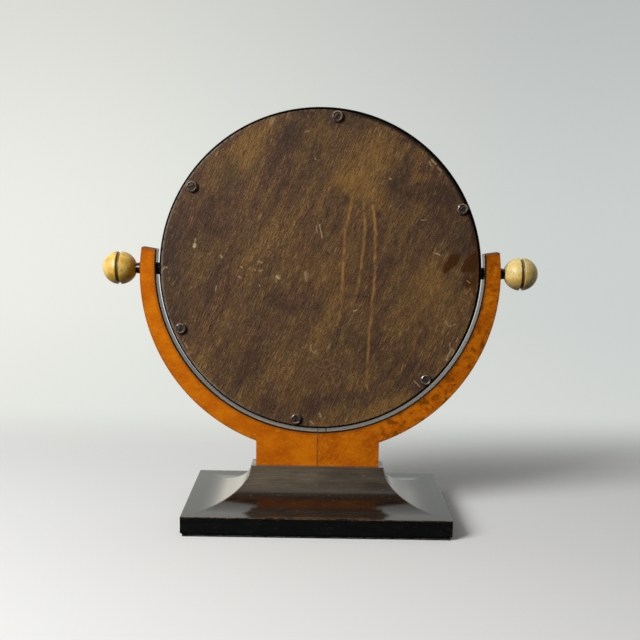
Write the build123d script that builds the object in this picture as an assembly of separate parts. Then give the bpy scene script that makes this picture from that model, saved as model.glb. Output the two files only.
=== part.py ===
"""Round table mirror that tilts between the two arms of a forked stand.

X runs from the left arm to the right arm as seen from behind, the back of the mirror faces -Y,
Z is up, and the origin is the middle of the underside. All sizes are in millimetres.
"""
import math
import os

from build123d import *

# Underside and plinth
baize_thickness = 0.9
bottom_board_thickness = 2.8
underside_inset = 2.0
plinth_thickness = 16.1
plinth_edge_radius = 0.8

# Flared block: a hollow cove runs down all four sides to a narrow flat margin
block_edge_height = 2.0
cove_drop = 35.5
cove_run = 53.0
cove_margin_side = 16.0
cove_margin_end = 15.0
block_top_width = 148.0
block_top_depth = 26.0
block_edge_radius = 0.6

# Mirror ring, a turned ring with one rebate for the board and one for the glass
ring_radius = 175.0
ring_depth = 18.0
ring_back_edge = 0.5
ring_crown_radius = 6.0
board_rebate_wall = 1.3
screw_shoulder_width = 11.2
sight_lap = 6.5
sight_edge_height = 2.6

# Glass, card and backboard
glass_thickness = 4.0
glass_clearance = 0.6
bevel_width = 18.0
bevel_drop = 1.6
card_thickness = 1.9
board_thickness = 4.0
board_clearance = 0.8
board_shift_x = -0.4
board_shift_z = -0.3
board_edge_radius = 0.5

# Six board screws in raised cups, set out by hand, so the bearings are uneven
screw_margin = 7.5
screw_shift_x = 1.0
screw_shift_z = -0.1
screw_bearings = (24.9, 85.0, 147.5, 202.9, 261.1, 314.9)
screw_slot_turns = (40.0, 52.0, 20.0, 75.0, 90.0, 125.0)
screw_shank_radius = 2.0
screw_length = 13.0
screw_tip_length = 3.0
screw_head_radius = 3.6
screw_head_cone_height = 1.7
screw_head_dome_height = 0.3
screw_slot_width = 1.2
screw_slot_depth = 0.9
cup_radius = 6.1
cup_height = 2.8
cup_lip_width = 0.4
cup_slope_width = 1.3
cup_floor = 0.3

# Fork
ring_gap = 4.2
arm_width = 17.1
outer_arc_drop = 6.2
arm_reach = 23.5
yoke_thickness = 18.0
yoke_waist = 38.5
foot_width = 137.0
veneer_thickness = 0.9
band_thickness = 1.0
seam_gap = 0.1
fork_edge_radius = 0.4

# Hidden fixings of the stand
seam_dowel_radius = 3.0
seam_dowel_length = 30.0
foot_dowel_radius = 4.0
foot_dowel_length = 30.0
foot_dowel_spacing = 50.0
foot_screw_spacing = 92.0
foot_screw_radius = 2.4
foot_screw_head_radius = 4.8
foot_screw_head_height = 3.2
foot_screw_recess = 4.0
foot_screw_bite = 24.0
foot_screw_slot_width = 1.2
foot_screw_slot_depth = 1.4

# Pivots and clamping knobs
stud_radius = 3.0
stud_end_radius = 0.8
insert_radius = 4.0
insert_length = 9.5
collar_radius = 6.6
collar_seat_depth = 1.4
collar_edge = 0.4
ferrule_arm_radius = 6.4
ferrule_knob_radius = 5.6
ferrule_edge = 0.4
knob_radius = 18.1
knob_half_length = 18.6
knob_centre_from_arm = 23.1
knob_groove_radius = 2.1
knob_groove_lip = 0.4
knob_bore_depth = 16.0
thread_engagement = 8.0

# Clearances
running_clearance = 0.06
side_clearance = 0.4
face_clearance = 0.1
glue_clearance = 0.03

# Levels and radii that follow from the sizes above
board_underside = baize_thickness
plinth_bottom = board_underside + bottom_board_thickness
block_bottom = plinth_bottom + plinth_thickness
cove_bottom = block_bottom + block_edge_height
block_top = cove_bottom + cove_drop
plinth_width = block_top_width + 2 * (cove_run + cove_margin_side)
plinth_depth = block_top_depth + 2 * (cove_run + cove_margin_end)

yoke_inner_radius = ring_radius + ring_gap
pivot_height = block_top + yoke_waist + yoke_inner_radius
outer_arc_height = pivot_height - outer_arc_drop
arm_outer_x = yoke_inner_radius + arm_width
yoke_outer_radius = math.hypot(arm_outer_x, outer_arc_drop)
tip_angle = math.asin((arm_reach + outer_arc_drop) / yoke_outer_radius)

board_rebate_radius = ring_radius - board_rebate_wall
glass_rebate_radius = board_rebate_radius - screw_shoulder_width
sight_radius = glass_rebate_radius - sight_lap
screw_circle_radius = board_rebate_radius - screw_margin
ring_back = -ring_depth / 2
ring_front = ring_depth / 2
board_seat = ring_back + board_thickness
glass_back = board_seat + card_thickness
glass_radius = glass_rebate_radius - glass_clearance
board_radius = board_rebate_radius - board_clearance
bevel_fall_per_mm = bevel_drop / bevel_width
bevel_fall_at_sight = bevel_drop - bevel_fall_per_mm * (glass_radius - sight_radius)
glass_seat = glass_back + glass_thickness - bevel_fall_at_sight + face_clearance

collar_inner_x = ring_radius - collar_seat_depth
collar_outer_x = yoke_inner_radius - side_clearance
knob_centre_x = arm_outer_x + knob_centre_from_arm
knob_flat_share = math.sqrt(1 - (ferrule_knob_radius / knob_radius) ** 2)
knob_flat_x = knob_centre_x - knob_half_length * knob_flat_share
stud_inner_x = collar_inner_x - thread_engagement
stud_outer_x = knob_flat_x + knob_bore_depth - face_clearance


def block(width, depth, low, high):
    """A rectangular solid centred on the Z axis between two heights."""
    return Pos(0, 0, (low + high) / 2) * Box(width, depth, high - low)


def turned(outline):
    """A solid turned about Z from a closed outline of radius and height."""
    return revolve(Plane.XZ * make_face(outline), Axis.Z)


def tube(outer_radius, inner_radius, low, high, edge=0.0):
    """A tube on the Z axis with its outer edges broken."""
    body = Pos(0, 0, (low + high) / 2) * Cylinder(outer_radius, high - low)
    if edge:
        body = chamfer(body.edges().filter_by(GeomType.CIRCLE), edge)
    return body - Pos(0, 0, (low + high) / 2) * Cylinder(inner_radius, 2 * (high - low))


def rod(radius, low, high):
    """A plain round bar on the Z axis between two heights."""
    return Pos(0, 0, (low + high) / 2) * Cylinder(radius, high - low)


def along_pivot(solid):
    """Lays a piece turned about Z on the pivot axis, its upper end towards the right arm."""
    return Pos(0, 0, pivot_height) * Rot(0, 90, 0) * solid


def left_copy(solid):
    """The left arm's copy of a piece of the right arm."""
    return mirror(solid, about=Plane.YZ)


def half_turned(solid):
    """The left pivot's copy of a turned piece of the right pivot."""
    return Rot(0, 0, 180) * solid


# Stand: underside, plinth and flared block


def base_baize():
    """Thin cloth under the foot."""
    width = plinth_width - 2 * underside_inset
    depth = plinth_depth - 2 * underside_inset
    return block(width, depth, 0, baize_thickness)


def bottom_board():
    """Thin board that covers the screw heads, set in from the plinth's edge."""
    width = plinth_width - 2 * underside_inset
    depth = plinth_depth - 2 * underside_inset
    return block(width, depth, board_underside, plinth_bottom)


def foot_screw_places():
    """The two foot screws' places on the Z = 0 plane."""
    return [Pos(side * foot_screw_spacing / 2, 0, 0) for side in (-1, 1)]


def foot_dowel_places():
    """The two foot dowels' places on the Z = 0 plane."""
    return [Pos(side * foot_dowel_spacing / 2, 0, 0) for side in (-1, 1)]


def foot_screw_bore():
    """What a foot screw takes out of the plinth, the block and the fork."""
    head_bottom = plinth_bottom + foot_screw_recess
    head_top = head_bottom + foot_screw_head_height
    screw_top = block_top + foot_screw_bite
    recess = rod(foot_screw_head_radius + glue_clearance, plinth_bottom - 1, head_bottom)
    shank = rod(foot_screw_radius + glue_clearance, head_bottom, screw_top + glue_clearance)
    seat = Pos(0, 0, (head_bottom + head_top) / 2) * Cone(
        foot_screw_head_radius + glue_clearance,
        foot_screw_radius + glue_clearance,
        foot_screw_head_height,
    )
    return recess + seat + shank


def foot_screw():
    """A countersunk slotted wood screw that points up, its head in the plinth's recess."""
    head_bottom = plinth_bottom + foot_screw_recess
    head_top = head_bottom + foot_screw_head_height
    screw_top = block_top + foot_screw_bite
    tip_base = screw_top - 2 * foot_screw_radius
    outline = Polyline(
        (0, head_bottom),
        (foot_screw_head_radius, head_bottom),
        (foot_screw_radius, head_top),
        (foot_screw_radius, tip_base),
        (0, screw_top),
        close=True,
    )
    slot = Pos(0, 0, head_bottom) * Box(
        3 * foot_screw_head_radius, foot_screw_slot_width, 2 * foot_screw_slot_depth
    )
    return turned(outline) - slot


def base_plinth():
    """Rectangular slab with softened edges and the two screw recesses."""
    slab = block(plinth_width, plinth_depth, plinth_bottom, block_bottom)
    upright = slab.edges().filter_by(Axis.Z)
    lower = slab.edges().group_by(Axis.Z)[0]
    slab = fillet(upright + lower, plinth_edge_radius)
    for place in foot_screw_places():
        slab -= place * foot_screw_bore()
    return slab


def cove_profile(top_width, margin):
    """Outline of the flared block across one direction, a quarter ellipse on each side."""
    half_top = top_width / 2
    half_foot = half_top + cove_run
    half_base = half_foot + margin
    right_cove = EllipticalCenterArc((half_foot, block_top), cove_run, cove_drop, 180)
    left_cove = EllipticalCenterArc((-half_foot, block_top), cove_run, cove_drop, 270)
    base = Polyline(
        (half_foot, cove_bottom),
        (half_base, cove_bottom),
        (half_base, block_bottom),
        (-half_base, block_bottom),
        (-half_base, cove_bottom),
        (-half_foot, cove_bottom),
    )
    top = Line((-half_top, block_top), (half_top, block_top))
    return make_face([right_cove, base, left_cove, top])


def flared_block():
    """Coves of equal run on four sides: two crossed prisms share the block and its mitre lines."""
    side = cove_profile(block_top_width, cove_margin_side)
    end = cove_profile(block_top_depth, cove_margin_end)
    across = extrude(Plane.XZ * side, plinth_depth, both=True)
    through = extrude(Plane.YZ * end, plinth_width, both=True)
    body = across & through
    brim = body.edges().filter_by_position(Axis.Z, cove_bottom - 0.01, cove_bottom + 0.01)
    outer_brim = brim.filter_by(on_base_outline)
    upright = body.edges().filter_by(Axis.Z)
    body = fillet(upright + outer_brim, block_edge_radius)
    for place in foot_screw_places():
        body -= place * foot_screw_bore()
    for place in foot_dowel_places():
        body -= place * foot_dowel_hole()
    return body


def on_base_outline(edge):
    """True for an edge that lies on the plinth's rectangular outline."""
    middle = edge.position_at(0.5)
    on_side = abs(abs(middle.X) - plinth_width / 2) < 0.01
    on_end = abs(abs(middle.Y) - plinth_depth / 2) < 0.01
    return on_side or on_end


# Fork: two halves, each a core with veneers and an inner band


def right_half_field(start_x):
    """Everything right of the seam and below the cut across the arm's tip."""
    reach = 2 * yoke_outer_radius
    return make_face(
        Polyline(
            (start_x, outer_arc_height),
            (reach * math.cos(tip_angle), outer_arc_height + reach * math.sin(tip_angle)),
            (reach, 0),
            (start_x, 0),
            close=True,
        )
    )


def fork_outline(outer_radius, inner_radius, foot):
    """Outline of the fork with its foot, between an outer and an inner arc."""
    foot_height = pivot_height - block_top
    outer_disc = Pos(0, outer_arc_height) * Circle(outer_radius)
    foot_field = Pos(0, block_top + foot_height / 2) * Rectangle(foot, foot_height)
    inner_disc = Pos(0, pivot_height) * Circle(inner_radius)
    above_block = Pos(0, block_top + yoke_outer_radius) * Rectangle(
        4 * yoke_outer_radius, 2 * yoke_outer_radius
    )
    outline = (outer_disc & above_block) + foot_field - inner_disc
    return outline & right_half_field(seam_gap / 2)


def fork_core_outline():
    """Outline of the core, inside the veneer and the band."""
    return fork_outline(
        yoke_outer_radius - veneer_thickness,
        yoke_inner_radius + band_thickness,
        foot_width - 2 * veneer_thickness,
    )


def arm_bore():
    """The knob stud's hole through the right arm."""
    return along_pivot(
        rod(stud_radius + running_clearance, yoke_inner_radius - 20, arm_outer_x + 20)
    )


def seam_dowel_places():
    """The two seam dowels' places, at the thirds of the waist."""
    return [Pos(0, 0, block_top + yoke_waist * share / 3) * Rot(0, 90, 0) for share in (1, 2)]


def seam_dowel_hole():
    """What a seam dowel takes out of the two halves."""
    half = seam_dowel_length / 2 + glue_clearance
    return rod(seam_dowel_radius + glue_clearance, -half, half)


def foot_dowel_hole():
    """What a foot dowel takes out of the block and the fork."""
    half = foot_dowel_length / 2 + glue_clearance
    return rod(foot_dowel_radius + glue_clearance, block_top - half, block_top + half)


def yoke_core():
    """The right half's sawn core, with every hole that the fixings need."""
    core_thickness = yoke_thickness - 2 * veneer_thickness
    core = extrude(Plane.XZ * fork_core_outline(), core_thickness / 2, both=True)
    core -= arm_bore()
    for place in seam_dowel_places():
        core -= place * seam_dowel_hole()
    for place in foot_dowel_places():
        core -= place * foot_dowel_hole()
    for place in foot_screw_places():
        core -= place * foot_screw_bore()
    return core


def face_veneer(side):
    """Veneer over one broad face of the right half, its outer edge softened."""
    inner_radius = yoke_inner_radius + band_thickness + glue_clearance
    outline = fork_outline(yoke_outer_radius, inner_radius, foot_width)
    sheet = extrude(Plane.XZ * outline, veneer_thickness / 2, both=True)
    outer_face_edges = sheet.edges().group_by(Axis.Y)[-1 if side > 0 else 0]
    sheet = fillet(outer_face_edges.filter_by(on_fork_outline), fork_edge_radius)
    return Pos(0, side * (yoke_thickness - veneer_thickness) / 2, 0) * sheet


def on_fork_outline(edge):
    """True for an edge of the right half that shows: not at the seam, the foot or the band."""
    middle = edge.position_at(0.5)
    at_seam = middle.X < seam_gap
    at_foot = middle.Z < block_top + 0.01
    from_pivot = math.hypot(middle.X, middle.Z - pivot_height)
    at_band = from_pivot < yoke_inner_radius + band_thickness + 2 * glue_clearance
    return not (at_seam or at_foot or at_band)


def outer_veneer():
    """Veneer round the right half's outer edge and down the side of the foot."""
    full = fork_outline(yoke_outer_radius, yoke_inner_radius + band_thickness, foot_width)
    strip = full - fork_core_outline()
    core_thickness = yoke_thickness - 2 * veneer_thickness
    return extrude(Plane.XZ * strip, core_thickness / 2, both=True) - arm_bore()


def inner_band():
    """Strip that lines the right half's inner edge over the fork's full thickness."""
    ring = Circle(yoke_inner_radius + band_thickness) - Circle(yoke_inner_radius)
    strip = (Pos(0, pivot_height) * ring) & right_half_field(seam_gap / 2)
    band = extrude(Plane.XZ * strip, yoke_thickness / 2, both=True)
    inner_arcs = band.edges().filter_by(GeomType.CIRCLE).sort_by(lambda arc: arc.radius)[:2]
    return fillet(inner_arcs, fork_edge_radius) - arm_bore()


def seam_dowels():
    """Two dowels across the seam."""
    dowel = rod(seam_dowel_radius, -seam_dowel_length / 2, seam_dowel_length / 2)
    return Compound(children=[place * dowel for place in seam_dowel_places()])


def foot_dowels():
    """Two dowels from the block up into the fork."""
    half = foot_dowel_length / 2
    dowel = rod(foot_dowel_radius, block_top - half, block_top + half)
    return Compound(children=[place * dowel for place in foot_dowel_places()])


def foot_screws():
    """Two screws from below."""
    return Compound(children=[place * foot_screw() for place in foot_screw_places()])


# Mirror


def screw_places():
    """Places of the board screws on the ring's back face, each pointing out of it."""
    places = []
    for bearing, slot_turn in zip(screw_bearings, screw_slot_turns):
        x = screw_shift_x + screw_circle_radius * math.cos(math.radians(bearing))
        z = screw_shift_z + screw_circle_radius * math.sin(math.radians(bearing))
        places.append(Pos(x, ring_back, pivot_height + z) * Rot(90, 0, 0) * Rot(0, 0, slot_turn))
    return places


def screw_hole(radius):
    """A hole for one board screw, from the cup down to the screw's tip."""
    return rod(radius, -screw_length - glue_clearance, cup_height)


def rim_ring():
    """The turned ring: rounded at the front, with a board rebate and a glass rebate behind."""
    crown_x = ring_radius - ring_crown_radius
    crown = CenterArc((crown_x, ring_front - ring_crown_radius), ring_crown_radius, 0, 90)
    sight_top = (sight_radius, glass_seat + sight_edge_height)
    fall = TangentArc((crown_x, ring_front), sight_top, tangent=(-1, 0))
    inside = Polyline(
        sight_top,
        (sight_radius, glass_seat),
        (glass_rebate_radius, glass_seat),
        (glass_rebate_radius, board_seat),
        (board_rebate_radius, board_seat),
        (board_rebate_radius, ring_back),
        (ring_radius - ring_back_edge, ring_back),
        (ring_radius, ring_back + ring_back_edge),
        (ring_radius, ring_front - ring_crown_radius),
    )
    section = make_face([crown, fall, inside])
    ring = Pos(0, 0, pivot_height) * revolve(section, Axis.Y)
    for place in screw_places():
        ring -= place * screw_hole(screw_shank_radius + glue_clearance)
    seat = along_pivot(rod(collar_radius + glue_clearance, collar_inner_x, ring_radius + 1))
    bore = along_pivot(
        rod(insert_radius + glue_clearance, collar_inner_x - insert_length, ring_radius)
    )
    return ring - seat - bore - left_copy(seat) - left_copy(bore)


def facing_back(solid):
    """Stands a piece turned about Z in the ring, its upper end towards the back."""
    return Pos(0, 0, pivot_height) * Rot(90, 0, 0) * solid


def mirror_glass():
    """Silvered glass with a wide bevel on the front."""
    front = glass_back + glass_thickness
    outline = Polyline(
        (0, -glass_back),
        (glass_radius, -glass_back),
        (glass_radius, bevel_drop - front),
        (glass_radius - bevel_width, -front),
        (0, -front),
        close=True,
    )
    return facing_back(turned(outline))


def packing_card():
    """Card that holds the glass against its seat."""
    return facing_back(rod(glass_radius, -glass_back, -board_seat))


def backboard():
    """Thin round board, a little off centre in its rebate, with clearance holes for the screws."""
    disc = rod(board_radius, -board_seat, -ring_back)
    disc = fillet(disc.edges().group_by(Axis.Z)[-1], board_edge_radius)
    board = Pos(board_shift_x, 0, board_shift_z) * facing_back(disc)
    for place in screw_places():
        board -= place * screw_hole(screw_shank_radius + running_clearance)
    return board


def screw_cup():
    """A raised cup: steep outside, a narrow lip and a cone for the screw's head."""
    lip_outer = cup_radius - cup_slope_width
    lip_inner = lip_outer - cup_lip_width
    hole = screw_shank_radius + running_clearance
    slope = ThreePointArc(
        (cup_radius, cup_floor),
        (cup_radius - 0.35 * cup_slope_width, 0.7 * cup_height),
        (lip_outer, cup_height),
    )
    rest = Polyline(
        (lip_outer, cup_height),
        (lip_inner, cup_height),
        (hole, cup_floor),
        (hole, 0),
        (cup_radius, 0),
        (cup_radius, cup_floor),
    )
    return turned([slope, rest])


def head_seat_height(radius):
    """Height of the cup's inner cone at a radius."""
    lip_inner = cup_radius - cup_slope_width - cup_lip_width
    hole = screw_shank_radius + running_clearance
    return cup_floor + (cup_height - cup_floor) * (radius - hole) / (lip_inner - hole)


def board_screw():
    """A slotted screw with a raised head that lies in its cup."""
    head_edge = head_seat_height(screw_head_radius) + face_clearance
    neck = max(head_edge - screw_head_cone_height, cup_floor + face_clearance)
    dome = ThreePointArc(
        (screw_head_radius, head_edge),
        (0.7 * screw_head_radius, head_edge + 0.52 * screw_head_dome_height),
        (0, head_edge + screw_head_dome_height),
    )
    rest = Polyline(
        (0, head_edge + screw_head_dome_height),
        (0, -screw_length),
        (screw_shank_radius, screw_tip_length - screw_length),
        (screw_shank_radius, neck),
        (screw_head_radius, head_edge),
    )
    slot_floor = head_edge + screw_head_dome_height - screw_slot_depth
    slot = Pos(0, 0, slot_floor + screw_slot_depth) * Box(
        3 * screw_head_radius, screw_slot_width, 2 * screw_slot_depth
    )
    return turned([dome, rest]) - slot


def screw_cups():
    """Six cups on the board."""
    cup = screw_cup()
    return Compound(children=[place * cup for place in screw_places()])


def board_screws():
    """Six screws through the board into the ring."""
    screw = board_screw()
    return Compound(children=[place * screw for place in screw_places()])


# Pivots and knobs of the right arm


def thread_insert():
    """Brass sleeve with the thread, let into the ring under the collar."""
    low = collar_inner_x - insert_length
    return along_pivot(
        tube(insert_radius, stud_radius + running_clearance, low, collar_inner_x)
    )


def pivot_collar():
    """Collar that stands in the ring and bears against the arm."""
    collar = tube(
        collar_radius,
        stud_radius + running_clearance,
        collar_inner_x,
        collar_outer_x,
        collar_edge,
    )
    return along_pivot(collar)


def ferrule():
    """Tapered ferrule between the arm and the ball."""
    low = arm_outer_x + side_clearance
    high = knob_flat_x - face_clearance
    hole = stud_radius + running_clearance
    outline = Polyline(
        (hole, low),
        (ferrule_arm_radius - ferrule_edge, low),
        (ferrule_arm_radius, low + ferrule_edge),
        (ferrule_knob_radius, high),
        (hole, high),
        close=True,
    )
    return along_pivot(turned(outline))


def knob_ball():
    """Ball a touch longer than wide, with a groove round its middle and a flat for the ferrule."""
    side = EllipticalCenterArc(
        (0, knob_centre_x), knob_radius, knob_half_length, -90, arc_size=180
    )
    section = make_face([side, Line(side @ 1, side @ 0)])
    section -= Pos(knob_radius, knob_centre_x) * Circle(knob_groove_radius)
    ball = revolve(Plane.XZ * section, Axis.Z)
    least = 2 * math.pi * (knob_radius - knob_groove_radius / 2)
    lips = [edge for edge in ball.edges() if edge.length > least]
    ball = fillet(lips, knob_groove_lip)
    flat = rod(knob_radius, knob_flat_x - knob_radius, knob_flat_x)
    bore = rod(stud_radius + glue_clearance, knob_flat_x - 1, knob_flat_x + knob_bore_depth)
    return along_pivot(ball - flat - bore)


def knob_stud():
    """Steel stud from the ball through the arm and the collar into the insert."""
    stud = rod(stud_radius, stud_inner_x, stud_outer_x)
    return along_pivot(chamfer(stud.edges().group_by(Axis.Z)[0], stud_end_radius))


def pair(name, right, copied=left_copy):
    """The right piece and its left copy, by node name."""
    return {f"{name}_right": right, f"{name}_left": copied(right)}


def all_parts():
    """Every piece by its node name."""
    parts = {
        "base_baize": base_baize(),
        "bottom_board": bottom_board(),
        "base_plinth": base_plinth(),
        "flared_block": flared_block(),
        "seam_dowels": seam_dowels(),
        "foot_dowels": foot_dowels(),
        "foot_screws": foot_screws(),
        "rim_ring": rim_ring(),
        "mirror_glass": mirror_glass(),
        "packing_card": packing_card(),
        "backboard": backboard(),
        "screw_cups": screw_cups(),
        "board_screws": board_screws(),
    }
    parts |= pair("yoke_core", yoke_core())
    parts |= pair("back_veneer", face_veneer(-1))
    parts |= pair("front_veneer", face_veneer(1))
    parts |= pair("outer_veneer", outer_veneer())
    parts |= pair("inner_band", inner_band())
    parts |= pair("thread_insert", thread_insert(), half_turned)
    parts |= pair("pivot_collar", pivot_collar(), half_turned)
    parts |= pair("ferrule", ferrule(), half_turned)
    parts |= pair("knob_ball", knob_ball(), half_turned)
    parts |= pair("knob_stud", knob_stud(), half_turned)
    return parts


os.makedirs("parts", exist_ok=True)
for name, shape in all_parts().items():
    export_step(shape, f"parts/{name}.step")
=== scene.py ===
"""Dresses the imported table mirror: finishes, softened pieces, cloth underside, light and camera.

X runs from the left arm to the right arm as seen from behind, the screwed back faces -Y, Z is up.
Lengths are in metres, and in millimetres from the disc's centre in the tables of marks and patches.
"""
import logging
import math
from dataclasses import dataclass
from enum import Enum
from functools import cache, cached_property
from typing import Protocol, Sequence

import bmesh
import bpy
from mathutils import Matrix, Vector


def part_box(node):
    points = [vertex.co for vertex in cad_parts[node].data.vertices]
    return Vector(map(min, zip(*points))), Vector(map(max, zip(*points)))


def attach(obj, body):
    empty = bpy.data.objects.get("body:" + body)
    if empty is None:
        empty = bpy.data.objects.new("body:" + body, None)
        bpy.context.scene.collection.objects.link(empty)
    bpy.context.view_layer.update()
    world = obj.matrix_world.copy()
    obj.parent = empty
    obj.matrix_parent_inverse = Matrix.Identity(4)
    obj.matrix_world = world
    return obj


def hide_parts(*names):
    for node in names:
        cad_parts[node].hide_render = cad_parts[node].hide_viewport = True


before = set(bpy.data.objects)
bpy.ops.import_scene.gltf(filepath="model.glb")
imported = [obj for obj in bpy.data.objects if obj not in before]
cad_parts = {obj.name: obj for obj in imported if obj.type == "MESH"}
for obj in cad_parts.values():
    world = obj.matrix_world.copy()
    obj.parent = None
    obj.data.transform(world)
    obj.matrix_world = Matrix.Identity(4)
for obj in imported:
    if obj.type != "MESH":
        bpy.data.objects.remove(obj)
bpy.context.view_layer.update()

LOG = logging.getLogger("table_mirror")

Socket = bpy.types.NodeSocket
Colour = tuple[float, float, float]
Span = tuple[float, float]
Point = tuple[float, float, float]

MM = 0.001
TOUCHING = 1e-6
PIVOT_HEIGHT = 0.275
RING_BACK = -0.009
BLOCK_TOP_HALF: Span = (0.074, 0.013)
LEFT: Point = (-1, 0, 0)
RIGHT: Point = (1, 0, 0)
FRONT: Point = (0, -1, 0)
BACK: Point = (0, 1, 0)
UP: Point = (0, 0, 1)


class Side(Enum):
    """The two arms, by the word that their pieces' names end in."""

    LEFT = "left"
    RIGHT = "right"


def srgb(red: int, green: int, blue: int) -> Colour:
    """Turns the usual 0 to 255 figures into a linear colour.

    Args:
        red: How red it is.
        green: How green it is.
        blue: How blue it is.

    Returns:
        The colour.
    """

    def linear(value: int) -> float:
        """One figure's linear share."""
        share = value / 255
        return share / 12.92 if share <= 0.04045 else ((share + 0.055) / 1.055) ** 2.4

    return linear(red), linear(green), linear(blue)


class Value:
    """A number in a node tree, with sums on it as nodes."""

    def __init__(self, tree: "Tree", socket: Socket) -> None:
        """Wraps a socket of a tree."""
        self.tree = tree
        self.socket = socket

    def __add__(self, other: object) -> "Value":
        """The sum."""
        return self.tree.math("ADD", self, other)

    def __sub__(self, other: object) -> "Value":
        """The difference."""
        return self.tree.math("SUBTRACT", self, other)

    def __mul__(self, other: object) -> "Value":
        """The product."""
        return self.tree.math("MULTIPLY", self, other)

    def __abs__(self) -> "Value":
        """The number without its sign."""
        return self.tree.math("ABSOLUTE", self)

    def ramp(self, low: float, high: float, top: float = 1.0) -> "Value":
        """Rises smoothly from 0 at low to top at high, and falls if low is above high."""
        feeds = {"Value": self, "From Min": low, "From Max": high, "To Min": 0.0, "To Max": top}
        made = self.tree.node("MapRange", feeds, interpolation_type="SMOOTHSTEP", clamp=False)
        return Value(self.tree, made.outputs[0])

    def scaled(self, low: float, high: float) -> "Value":
        """Turns 0 to 1 into low to high."""
        feeds = {"Value": self, "From Min": 0.0, "From Max": 1.0, "To Min": low, "To Max": high}
        return Value(self.tree, self.tree.node("MapRange", feeds, clamp=False).outputs[0])


class Tree:
    """A node tree under construction."""

    def __init__(self, tree: bpy.types.NodeTree) -> None:
        """Takes a tree and empties it."""
        self.tree = tree
        tree.nodes.clear()

    def node(self, kind: str, feeds: dict[str | int, object], **settings: object) -> bpy.types.Node:
        """Adds a node and feeds its inputs.

        Args:
            kind: The node's type without the ShaderNode prefix.
            feeds: Values or sockets by input name or number.
            settings: Properties of the node.

        Returns:
            The node.
        """
        made = self.tree.nodes.new("ShaderNode" + kind)
        for key, value in settings.items():
            setattr(made, key, value)
        for key, value in feeds.items():
            self.feed(made.inputs[key], value)
        return made

    def feed(self, socket: Socket, value: object) -> None:
        """Links a socket, or sets a constant.

        Args:
            socket: The input.
            value: A socket or a Value to link, or a constant.
        """
        if isinstance(value, Value):
            value = value.socket
        if isinstance(value, bpy.types.NodeSocket):
            self.tree.links.new(value, socket)
        elif isinstance(value, tuple) and socket.type == "RGBA":
            socket.default_value = (*value, 1.0)
        else:
            socket.default_value = value

    def math(self, operation: str, *values: object) -> Value:
        """One Math node's result."""
        return Value(self, self.node("Math", dict(enumerate(values)), operation=operation).outputs[0])

    def most(self, value: object, other: object) -> Value:
        """The greater of two numbers."""
        return self.math("MAXIMUM", value, other)

    def vector(self, operation: str, *values: object) -> Socket:
        """A VectorMath node's vector."""
        return self.node("VectorMath", dict(enumerate(values)), operation=operation).outputs[0]

    def number(self, operation: str, *values: object) -> Value:
        """A VectorMath node's single number."""
        made = self.node("VectorMath", dict(enumerate(values)), operation=operation)
        return Value(self, made.outputs["Value"])

    def parts(self, vector: object) -> tuple[Value, ...]:
        """X, Y and Z of a vector."""
        return tuple(Value(self, part) for part in self.node("SeparateXYZ", {"Vector": vector}).outputs)

    def stretched(self, vector: object, factor: object) -> Socket:
        """A vector times a number."""
        return self.node("VectorMath", {0: vector, "Scale": factor}, operation="SCALE").outputs[0]

    def blend(self, share: object, under: object, over: object) -> Socket:
        """A colour between two."""
        feeds = {0: share, 6: under, 7: over}
        return self.node("Mix", feeds, data_type="RGBA").outputs[2]


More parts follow.
